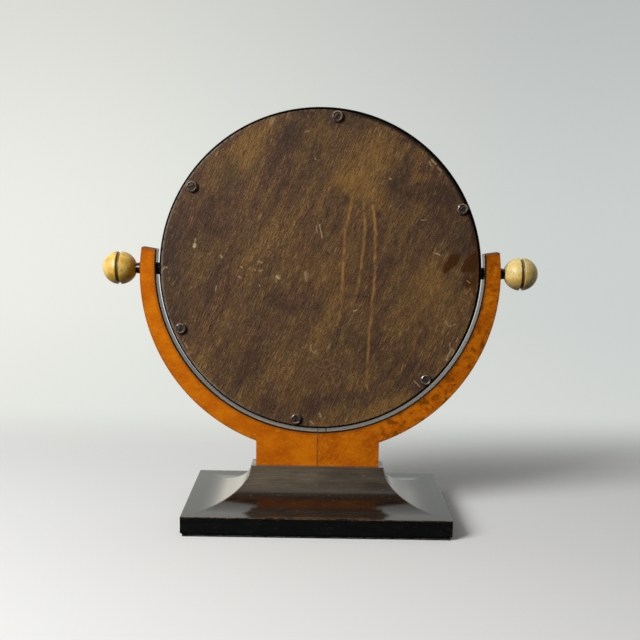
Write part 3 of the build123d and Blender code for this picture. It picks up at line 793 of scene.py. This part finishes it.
@dataclass(frozen=True)
class EbonisedWood:
    """Black-stained wood under an old polish, rubbed brown at the arrises."""

    zone: Zone
    roughness: float = 0.16
    black: Colour = srgb(14, 15, 16)
    grey: Colour = srgb(30, 26, 22)
    brown: Colour = srgb(78, 54, 26)
    pale: Colour = srgb(140, 128, 112)
    rubbing_and_highlight: Colour = srgb(128, 114, 96)
    left_sheen: Colour = srgb(206, 198, 180)
    right_sheen: Colour = srgb(168, 160, 146)
    shoulder_highlight: Colour = srgb(196, 190, 178)
    lip: Colour = srgb(104, 74, 48)
    brim: Colour = srgb(112, 92, 68)
    brim_scuff: Colour = srgb(118, 82, 34)
    smear: Colour = srgb(36, 38, 38)
    low_edge: Colour = srgb(120, 116, 108)

    long_grain: Grain = Grain((0.055, 0.002, 0.0016), 3, 0.6, seed=1)
    brushing: Grain = Grain((0.018, 0.0009, 0.0008), 2, 0.6, seed=2)
    clouds: Grain = Grain((0.04, 0.02, 0.012), 3, 0.6, seed=3)
    dust: Grain = Grain((0.0016, 0.0012, 0.0012), 1, 0.5, seed=4)
    wobble: Grain = Grain((0.006,) * 3, 3, 0.6, seed=6)
    smears: Grain = Grain((0.02, 0.02, 0.006), 3, 0.6, seed=8, lean=25)
    breaks: Grain = Grain((0.003, 0.003, 0.02), 3, 0.7, seed=9)

    plan_half: Span = (0.143, 0.081)
    hollow_front: Span = (0.026, 0.044)
    side_sheen_rise: Span = (0.0211, 0.0264)
    shoulder_highlight_rise: Span = (0.030, 0.050)
    shoulder_highlight_end: Span = (0.0571, 0.0560)
    brown_front: Span = (0.034, 0.024)
    mitre_half: Span = (0.0008, 0.0002)
    mitre_reach: Span = (0.044, 0.026)
    lip_rise: Span = (0.0562, 0.0571)
    brim_half: Span = (-0.0013, -0.0004)
    brim_rise: Span = (0.0206, 0.0214)
    scuff_front: Span = (-0.0052, -0.0040)
    scuff_back: Span = (-0.0022, -0.0034)
    scuff_ends: Span = (0.062, 0.048)
    board_foot: Span = (0.0021, 0.0014)

    def material(self) -> bpy.types.Material:
        """Long grain, brushed gloss, and the zone's own wear, with a painted sheen and a painted highlight on
        the block.

        Returns:
            The material.
        """
        dull = {Zone.PLINTH: 0.28, Zone.UNDERSIDE: 0.2, Zone.RING: 0.4, Zone.BLOCK: 0.5}
        on_block = self.zone is Zone.BLOCK
        gloss = {"IOR": 1.62 if on_block else 1.5, "Specular_IOR_Level": dull[self.zone]}
        recipe = Recipe(f"ebonised_{self.zone.value}", self.black, **gloss)
        grain = self.long_grain.on(recipe)
        fine = self.brushing.on(recipe)
        clouds = self.clouds.on(recipe) if on_block else None
        dust = self.dust.on(recipe)
        recipe.coat(grain.ramp(0.45, 0.7, 0.35), self.grey)
        if on_block:
            self.block_wear(recipe, grain, fine, clouds)
        if self.zone is Zone.PLINTH:
            recipe.coat(self.smears.on(recipe).ramp(0.52, 0.72, 0.3), self.smear)
        if self.zone is Zone.UNDERSIDE:
            broken = self.breaks.on(recipe).ramp(0.38, 0.6, 0.6)
            recipe.coat(recipe.axes[2].ramp(*self.board_foot) * broken, self.low_edge)
        recipe.coat(dust.ramp(0.685, 0.76, 0.55 if on_block else 0.25), self.pale)
        rough = fine.scaled(self.roughness - 0.07, self.roughness + 0.05)
        recipe.relief(grain + fine * 0.5, 0.10, 0.0003)
        return recipe.finish(rough + dust.ramp(0.68, 0.8, 0.3))

    def beyond(self, recipe: Recipe, half: Span) -> tuple[Value, Value]:
        """How far outside a rectangle's sides and ends a point lies."""
        x, y, _ = recipe.axes
        return abs(x) - half[0], abs(y) - half[1]

    def block_wear(self, recipe: Recipe, grain: Value, fine: Value, clouds: Value) -> None:
        """Rubbing on the broad coves, a painted sheen on the side coves that is paler on the left towards the
        light, a painted highlight near their top, and pale lines along mitres and edges.

        Args:
            recipe: The block's recipe.
            grain: Its long grain.
            fine: Its brushing.
            clouds: Its broad noise.
        """
        x, _, z = recipe.axes
        out_x, out_y = self.beyond(recipe, BLOCK_TOP_HALF)
        broad = (out_y - out_x).ramp(-0.001, 0.001)
        patchy = clouds.ramp(0.3, 0.62).scaled(0.44, 0.64) - x.ramp(-0.02, 0.09, 0.45) * 0.6
        rubbing_and_highlight = broad * z.ramp(*self.hollow_front) * patchy
        recipe.coat(rubbing_and_highlight * grain.ramp(0.35, 0.65).scaled(0.7, 1.0), self.rubbing_and_highlight)
        sides = (out_x - out_y).ramp(0.001, 0.003)
        # Painted sheen on the side coves, paler on the left side, which faces the window light.
        side_sheen = sides * z.ramp(*self.side_sheen_rise, 0.66) * fine.scaled(0.7, 1.1)
        recipe.coat(side_sheen, recipe.blend(x.ramp(0.03, -0.03), self.right_sheen, self.left_sheen))
        # Painted highlight high on the side coves, stopping short of the top face.
        shoulder_highlight = sides * z.ramp(*self.shoulder_highlight_rise, 0.6) * z.ramp(*self.shoulder_highlight_end)
        recipe.coat(shoulder_highlight, self.shoulder_highlight)
        recipe.coat(broad * z.ramp(*self.brown_front, 0.5) * fine.ramp(0.4, 0.7), self.brown)
        wobble = self.wobble.on(recipe)
        reach = abs(out_x - out_y).ramp(*self.mitre_half) * wobble.ramp(0.25, 0.5, 0.7)
        recipe.coat(reach * recipe.most(out_x, out_y).ramp(*self.mitre_reach), self.pale)
        recipe.coat(z.ramp(*self.lip_rise) * wobble.ramp(0.3, 0.6, 0.75), self.lip)
        self.brim_wear(recipe, wobble)

    def brim_wear(self, recipe: Recipe, wobble: Value) -> None:
        """A thin rubbed line round the plinth's upper edge, and a scuff along its front.

        Args:
            recipe: The block's recipe.
            wobble: Noise that breaks the line.
        """
        x, _, z = recipe.axes
        out_x, out_y = self.beyond(recipe, self.plan_half)
        line = recipe.most(out_x, out_y).ramp(*self.brim_half) * z.ramp(*self.brim_rise)
        recipe.coat(line * wobble.ramp(0.38, 0.62, 0.65), self.brim)
        near = out_y.ramp(*self.scuff_front) * out_y.ramp(*self.scuff_back)
        middle = abs(x).ramp(*self.scuff_ends) * wobble.ramp(0.3, 0.5, 0.8)
        recipe.coat(near * middle, self.brim_scuff)


@dataclass(frozen=True)
class PolishedBand:
    """The fork's black inner strip, polished and a little dusty."""

    black: Colour = srgb(74, 52, 36)
    dust: Colour = srgb(132, 100, 72)
    rubbing_and_highlight: Colour = srgb(226, 190, 152)
    lip: Colour = srgb(20, 16, 13)
    gap: Colour = srgb(8, 7, 7)
    film: Grain = Grain((0.006,) * 3, 4, 0.65, seed=1)
    streaks: Grain = Grain((0.02, 0.001, 0.02), 2, 0.6, seed=2)
    highlight_front: Span = (-0.0065, -0.0050)
    highlight_back: Span = (0.005, -0.001)
    lip_width: Span = (-0.0058, -0.0070)
    lower_half: Span = (0.15, 0.14)
    joint_half: Span = (0.0008, 0.0004)
    nick_x: float = 0.0092
    nick_half: Span = (0.0008, 0.0003)

    def material(self) -> bpy.types.Material:
        """Gloss with a dust film, a painted highlight strip, a painted dark reflection along the front edge, a
        joint at the middle and one nick.

        Returns:
            The material.
        """
        recipe = Recipe("fork_band", self.black, IOR=1.5, Specular_IOR_Level=0.3)
        x, y, z = recipe.axes
        film = self.film.on(recipe)
        recipe.coat(film.ramp(0.35, 0.7, 0.6), self.dust)
        # Painted highlight: a pale strip across the band, just behind its front edge.
        recipe.coat(y.ramp(*self.highlight_front) * y.ramp(*self.highlight_back, 0.7), self.rubbing_and_highlight)
        # Painted dark reflection: a dark line along the band's front edge, where a rounded edge would mirror
        # the dim room.
        lip = y.ramp(*self.lip_width)
        recipe.coat(lip, self.lip)
        below = z.ramp(*self.lower_half)
        joint = abs(x).ramp(*self.joint_half) * below
        gaps = recipe.most(joint, abs(x - self.nick_x).ramp(*self.nick_half) * below)
        recipe.coat(gaps, self.gap)
        recipe.relief(self.streaks.on(recipe), 0.08, 0.0002)
        return recipe.finish(film.scaled(0.18, 0.38) + recipe.most(lip, gaps) * 0.55)


@dataclass(frozen=True)
class CreamBall:
    """Aged cream gloss, mottled mustard and olive, with fine grain round the ball."""

    name: str
    centre: Point
    seed: float
    patchy: float
    cream: Colour
    mustard: Colour = srgb(212, 156, 40)
    olive: Colour = srgb(132, 106, 46)
    underside_shade: Colour = srgb(104, 78, 34)
    groove: Colour = srgb(66, 50, 22)
    shaded_below: Span = (-0.003, -0.018)
    groove_radii: Span = (0.0179, 0.0164)

    def material(self) -> bpy.types.Material:
        """Soft warm and olive patches over cream, painted shade on the underside, and a darker groove.

        Returns:
            The material.
        """
        gloss = {"IOR": 1.52, "Specular_IOR_Level": 0.35, "Coat_Weight": 0.15, "Coat_Roughness": 0.3}
        recipe = Recipe(self.name, self.cream, **gloss)
        waved = recipe.shaken(0.003, 0.010, self.seed)
        patches = Grain((0.016, 0.016, 0.013), 2, 0.5, self.seed + 2).on(recipe, waved)
        spots = Grain((0.005,) * 3, 3, 0.6, self.seed + 3).on(recipe, waved)
        grain = Grain((0.0008, 0.006, 0.006), 2, 0.6, self.seed + 4).on(recipe)
        recipe.coat(patches.ramp(0.44, 0.62, self.patchy), self.mustard)
        recipe.coat(spots.ramp(0.52, 0.74, 0.5), self.olive)
        recipe.coat(grain.ramp(0.50, 0.34, 0.35), self.olive)
        spread = recipe.around(self.centre)
        height = recipe.parts(spread)[2]
        # Painted shade: the ball darkens below its centre.
        recipe.coat(height.ramp(*self.shaded_below, 0.68), self.underside_shade)
        recipe.coat(recipe.number("LENGTH", spread).ramp(*self.groove_radii, 0.85), self.groove)
        recipe.relief(spots + grain * 0.3, 0.08, 0.0003)
        return recipe.finish(spots.scaled(0.34, 0.5))


@dataclass(frozen=True)
class PlainTimber:
    """Unpolished or end-grain wood."""

    name: str
    light: Colour
    dark: Colour
    rings: Grain = Grain((0.0012, 0.02, 0.0035), 3, 0.6, seed=1, lean=20)
    pores: Grain = Grain((0.0007, 0.0007, 0.0012), 2, 0.6, seed=2)

    def material(self) -> bpy.types.Material:
        """Pores and rings.

        Returns:
            The material.
        """
        recipe = Recipe(self.name, self.dark, IOR=1.45)
        rings, pores = self.rings.on(recipe), self.pores.on(recipe)
        recipe.coat(rings.ramp(0.4, 0.62), self.light)
        recipe.coat(pores.ramp(0.42, 0.3, 0.6), self.dark)
        recipe.relief(pores, 0.3, 0.0003)
        return recipe.finish(rings.scaled(0.5, 0.75))


@dataclass(frozen=True)
class WornMetal:
    """Metal with tarnish, or a black coat over it."""

    name: str
    metal: Colour
    tarnish: Colour
    metallic: float
    roughness: float
    cell: float = 0.002
    turning: Grain = Grain((0.0004,) * 3, 2, 0.6, seed=2)

    def material(self) -> bpy.types.Material:
        """Tarnish clouds and fine turning marks.

        Returns:
            The material.
        """
        recipe = Recipe(self.name, self.metal, Metallic=self.metallic)
        clouds = Grain((self.cell,) * 3, 3, 0.6, seed=1).on(recipe)
        recipe.coat(clouds.ramp(0.42, 0.62, 0.85), self.tarnish)
        recipe.relief(clouds + self.turning.on(recipe), 0.18, 0.0002)
        low, high = max(self.roughness - 0.08, 0.05), self.roughness + 0.12
        return recipe.finish(clouds.scaled(low, high))


@dataclass(frozen=True)
class SilveredGlass:
    """Bevelled mirror glass, seen from its front."""

    silver: Colour = (0.86, 0.88, 0.87)
    wiped: Colour = (0.80, 0.83, 0.82)
    edge: Colour = srgb(70, 84, 80)
    wiping: Grain = Grain((0.12, 0.05, 0.05), 3, 0.5, seed=1, lean=30)
    edge_radii: Span = (0.1612, 0.1619)

    def material(self) -> bpy.types.Material:
        """Clean silver with the faintest wiping marks and a dark polished edge.

        Returns:
            The material.
        """
        recipe = Recipe("mirror_glass", self.silver, Metallic=1.0, IOR=1.5)
        edge = recipe.radius(PIVOT_HEIGHT).ramp(*self.edge_radii, 0.8)
        recipe.coat(self.wiping.on(recipe).ramp(0.45, 0.75, 0.5), self.wiped)
        recipe.coat(edge, self.edge)
        return recipe.finish(edge * 0.2)


@dataclass(frozen=True)
class GreyCard:
    """Pulp card behind the glass."""

    dark: Colour = srgb(120, 108, 90)
    light: Colour = srgb(160, 148, 126)
    fibres: Grain = Grain((0.003, 0.003, 0.0006), 3, 0.7, seed=1, lean=37)

    def material(self) -> bpy.types.Material:
        """Fibres on a dull ground.

        Returns:
            The material.
        """
        recipe = Recipe("packing_card", self.dark, IOR=1.4)
        fibres = self.fibres.on(recipe)
        recipe.coat(fibres.ramp(0.35, 0.65), self.light)
        recipe.relief(fibres, 0.2, 0.0002)
        return recipe.finish(fibres.scaled(0.75, 0.95))


@dataclass(frozen=True)
class BaizeCloth:
    """Black wool cloth, felted."""

    deep: Colour = srgb(16, 16, 16)
    lint: Colour = srgb(44, 43, 42)
    nap: Grain = Grain((0.0009, 0.0009, 0.0005), 4, 0.7, seed=1)
    thread: float = 0.0008

    def material(self) -> bpy.types.Material:
        """Nap and lint over a fine weave.

        Returns:
            The material.
        """
        recipe = Recipe("baize", self.deep, Sheen_Weight=0.25, Sheen_Roughness=0.5, IOR=1.4)
        nap = self.nap.on(recipe)
        weave = recipe.node("TexVoronoi", {"Vector": recipe.cells((self.thread,) * 3), "Scale": 1.0})
        recipe.coat(nap.ramp(0.4, 0.7), self.lint)
        recipe.relief(nap + weave.outputs["Distance"], 0.5, 0.0004)
        return recipe.finish(nap.scaled(0.85, 1.0))


def settle(parts: bmesh.types.BMVertSeq | bmesh.types.BMFaceSeq, places: Sequence[Vector]) -> None:
    """Puts a mesh's vertices or faces in an order that never varies.

    Args:
        parts: The vertices or the faces.
        places: Where each one lies.
    """
    keys = [tuple(round(length, 6) for length in place) for place in places]
    order = sorted(range(len(keys)), key=keys.__getitem__)
    rank = dict(zip(order, range(len(order))))
    parts.index_update()
    parts.sort(key=lambda part: rank[part.index])


def stand_piece(name: str, mesh: bmesh.types.BMesh, finish: Finish) -> bpy.types.Object:
    """Makes an object of a bmesh, smooth-shaded, and has it ride on the stand.

    Args:
        name: The piece's name.
        mesh: Its shape, freed here.
        finish: Its finish.

    Returns:
        The object.
    """
    bmesh.ops.recalc_face_normals(mesh, faces=mesh.faces)
    piece = linked(name, mesh, finish.material())
    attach(piece, "stand")
    LOG.info("%s: %d faces", name, len(piece.data.polygons))
    return piece


def linked(name: str, mesh: bmesh.types.BMesh, material: bpy.types.Material) -> bpy.types.Object:
    """Puts a bmesh in the scene as a smooth-shaded object, in an order that never varies.

    Args:
        name: The object's name.
        mesh: Its shape, freed here.
        material: Its material.

    Returns:
        The object.
    """
    settle(mesh.verts, [vert.co for vert in mesh.verts])
    settle(mesh.faces, [face.calc_center_median() for face in mesh.faces])
    for face in mesh.faces:
        face.smooth = True
    data = bpy.data.meshes.new(name)
    mesh.to_mesh(data)
    mesh.free()
    data.materials.append(material)
    made = bpy.data.objects.new(name, data)
    bpy.context.scene.collection.objects.link(made)
    return made


def dress(finish: Finish, *nodes: str) -> None:
    """Gives CAD nodes a material.

    Args:
        finish: Their finish.
        nodes: Their names.
    """
    material = finish.material()
    for node in nodes:
        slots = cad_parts[node].data.materials
        slots.clear()
        slots.append(material)
        LOG.info("%s dressed as %s", node, material.name)


def both(*names: str) -> tuple[str, ...]:
    """The node names of left and right pairs."""
    return tuple(f"{name}_{side.value}" for name in names for side in Side)


@dataclass(frozen=True)
class Stand:
    """Plinth, flared block and fork."""

    cove_run: float = 0.053
    edge_height: float = 0.002
    cove_steps: int = 30
    arris: float = 0.0005
    sharp: float = math.radians(20)
    barely_sharp: float = math.radians(0.5)
    level: float = 1e-7
    cloth_segments: tuple[int, int] = (56, 32)
    plinth_roughness: float = 0.3
    board_roughness: float = 0.5

    def build(self) -> None:
        """Makes the stand's new pieces and dresses its nodes."""
        self.softened_block()
        self.underside_cloth()
        dress(BirchVeneer(), *both("back_veneer", "front_veneer", "outer_veneer"))
        dress(PolishedBand(), *both("inner_band"))
        dress(PlainTimber("core_end_grain", srgb(56, 30, 14), srgb(28, 15, 8)), *both("yoke_core"))
        beech = PlainTimber("dowel_wood", srgb(190, 158, 112), srgb(150, 116, 76))
        dress(beech, "seam_dowels", "foot_dowels")
        steel = WornMetal("foot_screw_steel", srgb(150, 146, 140), srgb(96, 84, 74), 1.0, 0.38)
        dress(steel, "foot_screws")
        dress(EbonisedWood(Zone.PLINTH, self.plinth_roughness), "base_plinth")
        dress(EbonisedWood(Zone.UNDERSIDE, self.board_roughness), "bottom_board")

    def cove_rings(self, margin: Span, low: float, high: float) -> list[tuple[Span, float]]:
        """Outward runs and height of each ring of the block, from the brim to the top.

        Args:
            margin: The flat margin's width at the sides and at the ends.
            low: The block's underside.
            high: The block's top.

        Returns:
            Pairs of the runs along X and Y and the height.
        """
        brim = low + self.edge_height
        rings = [((self.cove_run + margin[0], self.cove_run + margin[1]), brim)]
        for step in range(self.cove_steps + 1):
            angle = math.pi / 2 * step / self.cove_steps
            run = self.cove_run * (1 - math.sin(angle))
            rings.append(((run, run), brim + (high - brim) * (1 - math.cos(angle))))
        return rings

    def is_arris(self, edge: bmesh.types.BMEdge) -> bool:
        """Tells an arris from the edges within a cove.

        Args:
            edge: An edge of the block.

        Returns:
            Whether it is sharp, or runs along a mitre of the coves.
        """
        angle = edge.calc_face_angle()
        half_x, half_y = BLOCK_TOP_HALF
        offs = [abs(vert.co.x) - half_x - abs(vert.co.y) + half_y for vert in edge.verts]
        mitred = max(map(abs, offs)) < TOUCHING and angle > self.barely_sharp
        return angle > self.sharp or mitred

    def softened_block(self) -> None:
        """The block, drawn up ring by ring from its plan, with every arris softened."""
        low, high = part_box("flared_block")
        margin = tuple(high[axis] - BLOCK_TOP_HALF[axis] - self.cove_run for axis in range(2))
        mesh = bmesh.new()
        plan = [(low[0], low[1]), (high[0], low[1]), (high[0], high[1]), (low[0], high[1])]
        mesh.faces.new([mesh.verts.new((x, y, low[2])) for x, y in plan])
        ring = list(mesh.edges)
        for runs, height in self.cove_rings(margin, low[2], high[2]):
            grown = bmesh.ops.extrude_edge_only(mesh, edges=ring)["geom"]
            for vert in (item for item in grown if isinstance(item, bmesh.types.BMVert)):
                vert.co.x = math.copysign(BLOCK_TOP_HALF[0] + runs[0], vert.co.x)
                vert.co.y = math.copysign(BLOCK_TOP_HALF[1] + runs[1], vert.co.y)
                vert.co.z = height
            edges = (item for item in grown if isinstance(item, bmesh.types.BMEdge))
            ring = [edge for edge in edges if all(abs(vert.co.z - height) < self.level for vert in edge.verts)]
        bmesh.ops.edgenet_fill(mesh, edges=ring)
        bmesh.ops.remove_doubles(mesh, verts=mesh.verts, dist=TOUCHING)
        bmesh.ops.recalc_face_normals(mesh, faces=mesh.faces)
        bmesh.ops.bevel(
            mesh,
            geom=[edge for edge in mesh.edges if self.is_arris(edge)],
            affect="EDGES",
            offset=self.arris,
            segments=2,
            profile=0.5,
            material=-1,
            clamp_overlap=True,
        )
        bmesh.ops.remove_doubles(mesh, verts=mesh.verts, dist=TOUCHING)
        block = stand_piece("softened_block", mesh, EbonisedWood(Zone.BLOCK))
        weighted = block.modifiers.new("even_normals", "WEIGHTED_NORMAL")
        weighted.keep_sharp = True
        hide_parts("flared_block")

    def underside_cloth(self) -> None:
        """The cloth glued under the foot, laid flat under the bottom board."""
        low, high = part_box("base_baize")
        width, depth, thickness = (high[axis] - low[axis] for axis in range(3))
        mesh = bmesh.new()
        across, along = self.cloth_segments
        bmesh.ops.create_grid(mesh, x_segments=across, y_segments=along, size=0.5)
        bmesh.ops.scale(mesh, vec=(width, depth, 1), verts=mesh.verts)
        bmesh.ops.translate(mesh, vec=(0, 0, thickness), verts=mesh.verts)
        cloth = stand_piece("underside_cloth", mesh, BaizeCloth())
        thick = cloth.modifiers.new("cloth_thickness", "SOLIDIFY")
        thick.thickness = thickness
        thick.offset = -1.0
        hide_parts("base_baize")


@dataclass(frozen=True)
class MirrorDisc:
    """Ring, glass, board, cups and screws, and the fittings at the pivots."""

    ring_roughness: float = 0.22
    screw_cell: float = 0.0012

    def build(self) -> None:
        """Dresses the disc."""
        dress(EbonisedWood(Zone.RING, self.ring_roughness), "rim_ring")
        dress(SilveredGlass(), "mirror_glass")
        dress(GreyCard(), "packing_card")
        dress(StainedBoard(), "backboard")
        dress(WornMetal("tarnished_cup", srgb(182, 168, 152), srgb(76, 60, 50), 0.8, 0.26), "screw_cups")
        steel = WornMetal("aged_steel", srgb(80, 64, 57), srgb(44, 34, 30), 0.3, 0.5, self.screw_cell)
        dress(steel, "board_screws")
        brass = WornMetal("insert_brass", srgb(200, 168, 96), srgb(150, 112, 60), 1.0, 0.3)
        dress(brass, *both("thread_insert"))
        lacquer = WornMetal("collar_lacquer", srgb(10, 10, 10), srgb(20, 18, 17), 0.0, 0.2)
        dress(lacquer, *both("pivot_collar", "ferrule"))


@dataclass(frozen=True)
class ClampKnob:
    """The grooved ball at one arm."""

    side: Side
    seed: float
    patchy: float
    cream: Colour

    def build(self) -> None:
        """Dresses the ball and its stud."""
        word = self.side.value
        node = f"knob_ball_{word}"
        low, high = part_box(node)
        centre = tuple((low[axis] + high[axis]) / 2 for axis in range(3))
        dress(CreamBall(f"cream_ball_{word}", centre, self.seed, self.patchy, self.cream), node)
        steel = WornMetal(f"stud_steel_{word}", srgb(176, 172, 166), srgb(128, 120, 110), 1.0, 0.28)
        dress(steel, f"knob_stud_{word}")


class Shade(Tree):
    """The backdrop's or the world's node tree: soft slopes that feed plain shaders."""

    def __init__(self, tree: bpy.types.NodeTree, output: str, emitter: str) -> None:
        """Starts the tree.

        Args:
            tree: The node tree.
            output: The output node's type.
            emitter: The type of the node that shines.
        """
        super().__init__(tree)
        self.output = self.node(output, {})
        self.emitter = emitter
        self.rays = self.node("LightPath", {}).outputs
        self.place = self.node("TexCoord", {}).outputs

    def slope(self, where: Socket, way: Point, ends: Span, values: Span = (0, 1)) -> Value:
        """A soft slope of values along a direction.

        Args:
            where: The coordinates.
            way: The direction.
            ends: The places where the slope starts and ends.
            values: The values there.

        Returns:
            The value.
        """
        labels = ("Value", "From Min", "From Max", "To Min", "To Max")
        feeds = dict(zip(labels, (self.number("DOT_PRODUCT", where, way), *ends, *values)))
        return Value(self, self.node("MapRange", feeds, interpolation_type="SMOOTHSTEP").outputs[0])

    def light(self, colour: object, strength: object) -> Socket:
        """A shader that shines."""
        return self.node(self.emitter, {"Color": colour, "Strength": strength}).outputs[0]

    def either(self, share: object, under: Socket, over: Socket) -> Socket:
        """One shader over another."""
        return self.node("MixShader", {0: share, 1: under, 2: over}).outputs[0]

    def close(self, shader: Socket) -> None:
        """Feeds the output."""
        self.feed(self.output.inputs["Surface"], shader)


@dataclass(frozen=True)
class Studio:
    """Pale floor swept up into a wall, one soft window light, and a room that is dim behind the camera."""

    half_width: float = 4.5
    near: float = -3.5
    far: float = 2.4
    sweep: float = 0.9
    sweep_steps: int = 12
    height: float = 3.6
    paper: Colour = (0.80, 0.80, 0.785)
    shaded_paper: Colour = (0.22, 0.215, 0.205)
    wall_left: Colour = srgb(238, 239, 232)
    wall_right: Colour = srgb(204, 208, 206)
    room_tone: Colour = srgb(238, 222, 200)
    window_place: Point = (-1.25, -1.05, 1.15)
    window_aim: Point = (0, 0, 0.25)
    window_size: float = 0.85
    window_power: float = 40.5
    floor_ends: Span = (0.12, 0.50)
    floor_ends_aside: Span = (0.75, 1.5)
    wall_tone_ends: Span = (-1.3, 1.1)
    wall_fade: tuple[Span, Span] = ((0.1, 1.5), (1.0, 0.78))
    paper_in_gloss: tuple[Span, Span] = ((0.05, 0.55), (0.06, 1.12))
    paper_in_glass: tuple[Span, Span] = ((-3.0, 0.4), (0.45, 0.95))
    sky_way: Point = (-0.3, 0.6, 0.7)
    sky_light: tuple[Span, Span] = ((-0.5, 0.8), (0.03, 0.42))
    sky_tone_ends: Span = (-0.9, 0.9)
    sky_in_gloss: tuple[Span, Span] = ((-0.25, 0.45), (0.02, 1.1))
    sky_in_glass: tuple[Span, Span] = ((-0.2, 0.8), (0.45, 0.95))

    def build(self) -> None:
        """Makes the backdrop, the light and the world."""
        self.backdrop()
        self.window()
        self.world()

    def backdrop(self) -> None:
        """Floor and wall in one swept sheet."""
        mesh = bmesh.new()
        corner = self.far - self.sweep
        profile = [(self.near, 0.0), (corner, 0.0)]
        for step in range(1, self.sweep_steps + 1):
            angle = math.pi / 2 * step / self.sweep_steps
            profile.append((corner + self.sweep * math.sin(angle), self.sweep * (1 - math.cos(angle))))
        profile.append((self.far, self.height))
        line = [mesh.verts.new((-self.half_width, y, z)) for y, z in profile]
        edges = [mesh.edges.new(pair) for pair in zip(line, line[1:])]
        grown = bmesh.ops.extrude_edge_only(mesh, edges=edges)["geom"]
        moved = [item for item in grown if isinstance(item, bmesh.types.BMVert)]
        bmesh.ops.translate(mesh, vec=(2 * self.half_width, 0, 0), verts=moved)
        linked("studio_backdrop", mesh, self.backdrop_paper())

    def wall_tone(self, shade: Shade, where: Socket, ends: Span) -> Socket:
        """The wall's glow, painted paler at the left, towards the window light."""
        return shade.blend(shade.slope(where, RIGHT, ends), self.wall_left, self.wall_right)

    def backdrop_paper(self) -> bpy.types.Material:
        """Plain paper: shaded as a floor near the object; behind it and off to the sides it glows as a wall of
        painted light, paler at the left and dimmer upward.

        Returns:
            The material.
        """
        paper = bpy.data.materials.new("backdrop_paper")
        paper.use_nodes = True
        shade = Shade(paper.node_tree, "OutputMaterial", "Emission")
        where, seen_straight = shade.place["Object"], shade.rays["Is Camera Ray"]
        floor = shade.blend(seen_straight, self.shaded_paper, self.paper)
        seen = shade.node("BsdfDiffuse", {"Color": floor}).outputs[0]
        tone = self.wall_tone(shade, where, self.wall_tone_ends)
        wall = shade.light(tone, shade.slope(where, UP, *self.wall_fade))
        aside = self.floor_ends_aside
        for way, ends in ((BACK, self.floor_ends), (LEFT, aside), (RIGHT, aside), (FRONT, aside)):
            seen = shade.either(shade.slope(where, way, ends) * seen_straight, seen, wall)
        # In glossy and mirror reflections the paper shows as a glow, dark near the object and pale behind it.
        mirrored = shade.light(tone, shade.slope(where, BACK, *self.paper_in_gloss))
        seen = shade.either(shade.rays["Is Glossy Ray"], seen, mirrored)
        clear = shade.light(tone, shade.slope(where, BACK, *self.paper_in_glass))
        shade.close(shade.either(shade.rays["Is Singular Ray"], seen, clear))
        return paper

    def window(self) -> None:
        """A square soft light that faces the mirror."""
        light = bpy.data.lights.new("window_light", "AREA")
        light.shape = "SQUARE"
        light.size = self.window_size
        light.energy = self.window_power
        lamp = bpy.data.objects.new("window_light", light)
        aim = Vector(self.window_aim) - Vector(self.window_place)
        turn = aim.to_track_quat("-Z", "Y").to_matrix().to_4x4()
        lamp.matrix_world = Matrix.Translation(self.window_place) @ turn
        bpy.context.scene.collection.objects.link(lamp)

    def world(self) -> None:
        """Grey light, weak from the camera's side, and shown pale to the camera."""
        world = bpy.data.worlds.new("studio_world")
        world.use_nodes = True
        shade = Shade(world.node_tree, "OutputWorld", "Background")
        where = shade.place["Generated"]
        lit = shade.light((1.0, 1.0, 1.0), shade.slope(where, self.sky_way, *self.sky_light))
        tone = self.wall_tone(shade, where, self.sky_tone_ends)
        mirrored = shade.light(self.room_tone, shade.slope(where, (0, 1, 0.25), *self.sky_in_gloss))
        lit = shade.either(shade.rays["Is Glossy Ray"], lit, mirrored)
        clear = shade.light(tone, shade.slope(where, UP, *self.sky_in_glass))
        lit = shade.either(shade.rays["Is Singular Ray"], lit, clear)
        shade.close(shade.either(shade.rays["Is Camera Ray"], lit, shade.light(tone, 1.0)))
        bpy.context.scene.world = world


@dataclass(frozen=True)
class Viewpoint:
    """The camera, as the photograph's outlines place it; angles in degrees, lens in millimetres."""

    place: Point = (-0.00208, -0.96777, 0.35344)
    yaw: float = 0.15
    pitch: float = -7.81
    roll: float = 0.95
    lens: float = 49.73
    sensor: float = 36.0

    def build(self) -> None:
        """Makes the camera the scene's own."""
        yaw, pitch, roll = (math.radians(angle) for angle in (self.yaw, self.pitch, self.roll))
        forward = Vector((math.sin(yaw) * math.cos(pitch), math.cos(yaw) * math.cos(pitch), math.sin(pitch)))
        level = forward.cross(Vector(UP)).normalized()
        upright = level.cross(forward)
        across = math.cos(roll) * level + math.sin(roll) * upright
        above = math.cos(roll) * upright - math.sin(roll) * level
        data = bpy.data.cameras.new("photograph_view")
        data.lens = self.lens
        data.sensor_width = self.sensor
        data.sensor_fit = "HORIZONTAL"
        camera = bpy.data.objects.new("photograph_view", data)
        turn = Matrix((across, above, -forward)).transposed().to_4x4()
        camera.matrix_world = Matrix.Translation(self.place) @ turn
        bpy.context.scene.collection.objects.link(camera)
        bpy.context.scene.camera = camera


def main() -> None:
    """Builds every sub-assembly in order."""
    logging.basicConfig(level=logging.INFO, format="%(message)s")
    bpy.context.scene.view_settings.view_transform = "Standard"
    Viewpoint().build()
    Studio().build()
    Stand().build()
    MirrorDisc().build()
    ClampKnob(Side.LEFT, seed=4.0, patchy=1.0, cream=srgb(230, 192, 98)).build()
    ClampKnob(Side.RIGHT, seed=11.0, patchy=0.5, cream=srgb(228, 204, 130)).build()


if __name__ == "__main__":
    main()
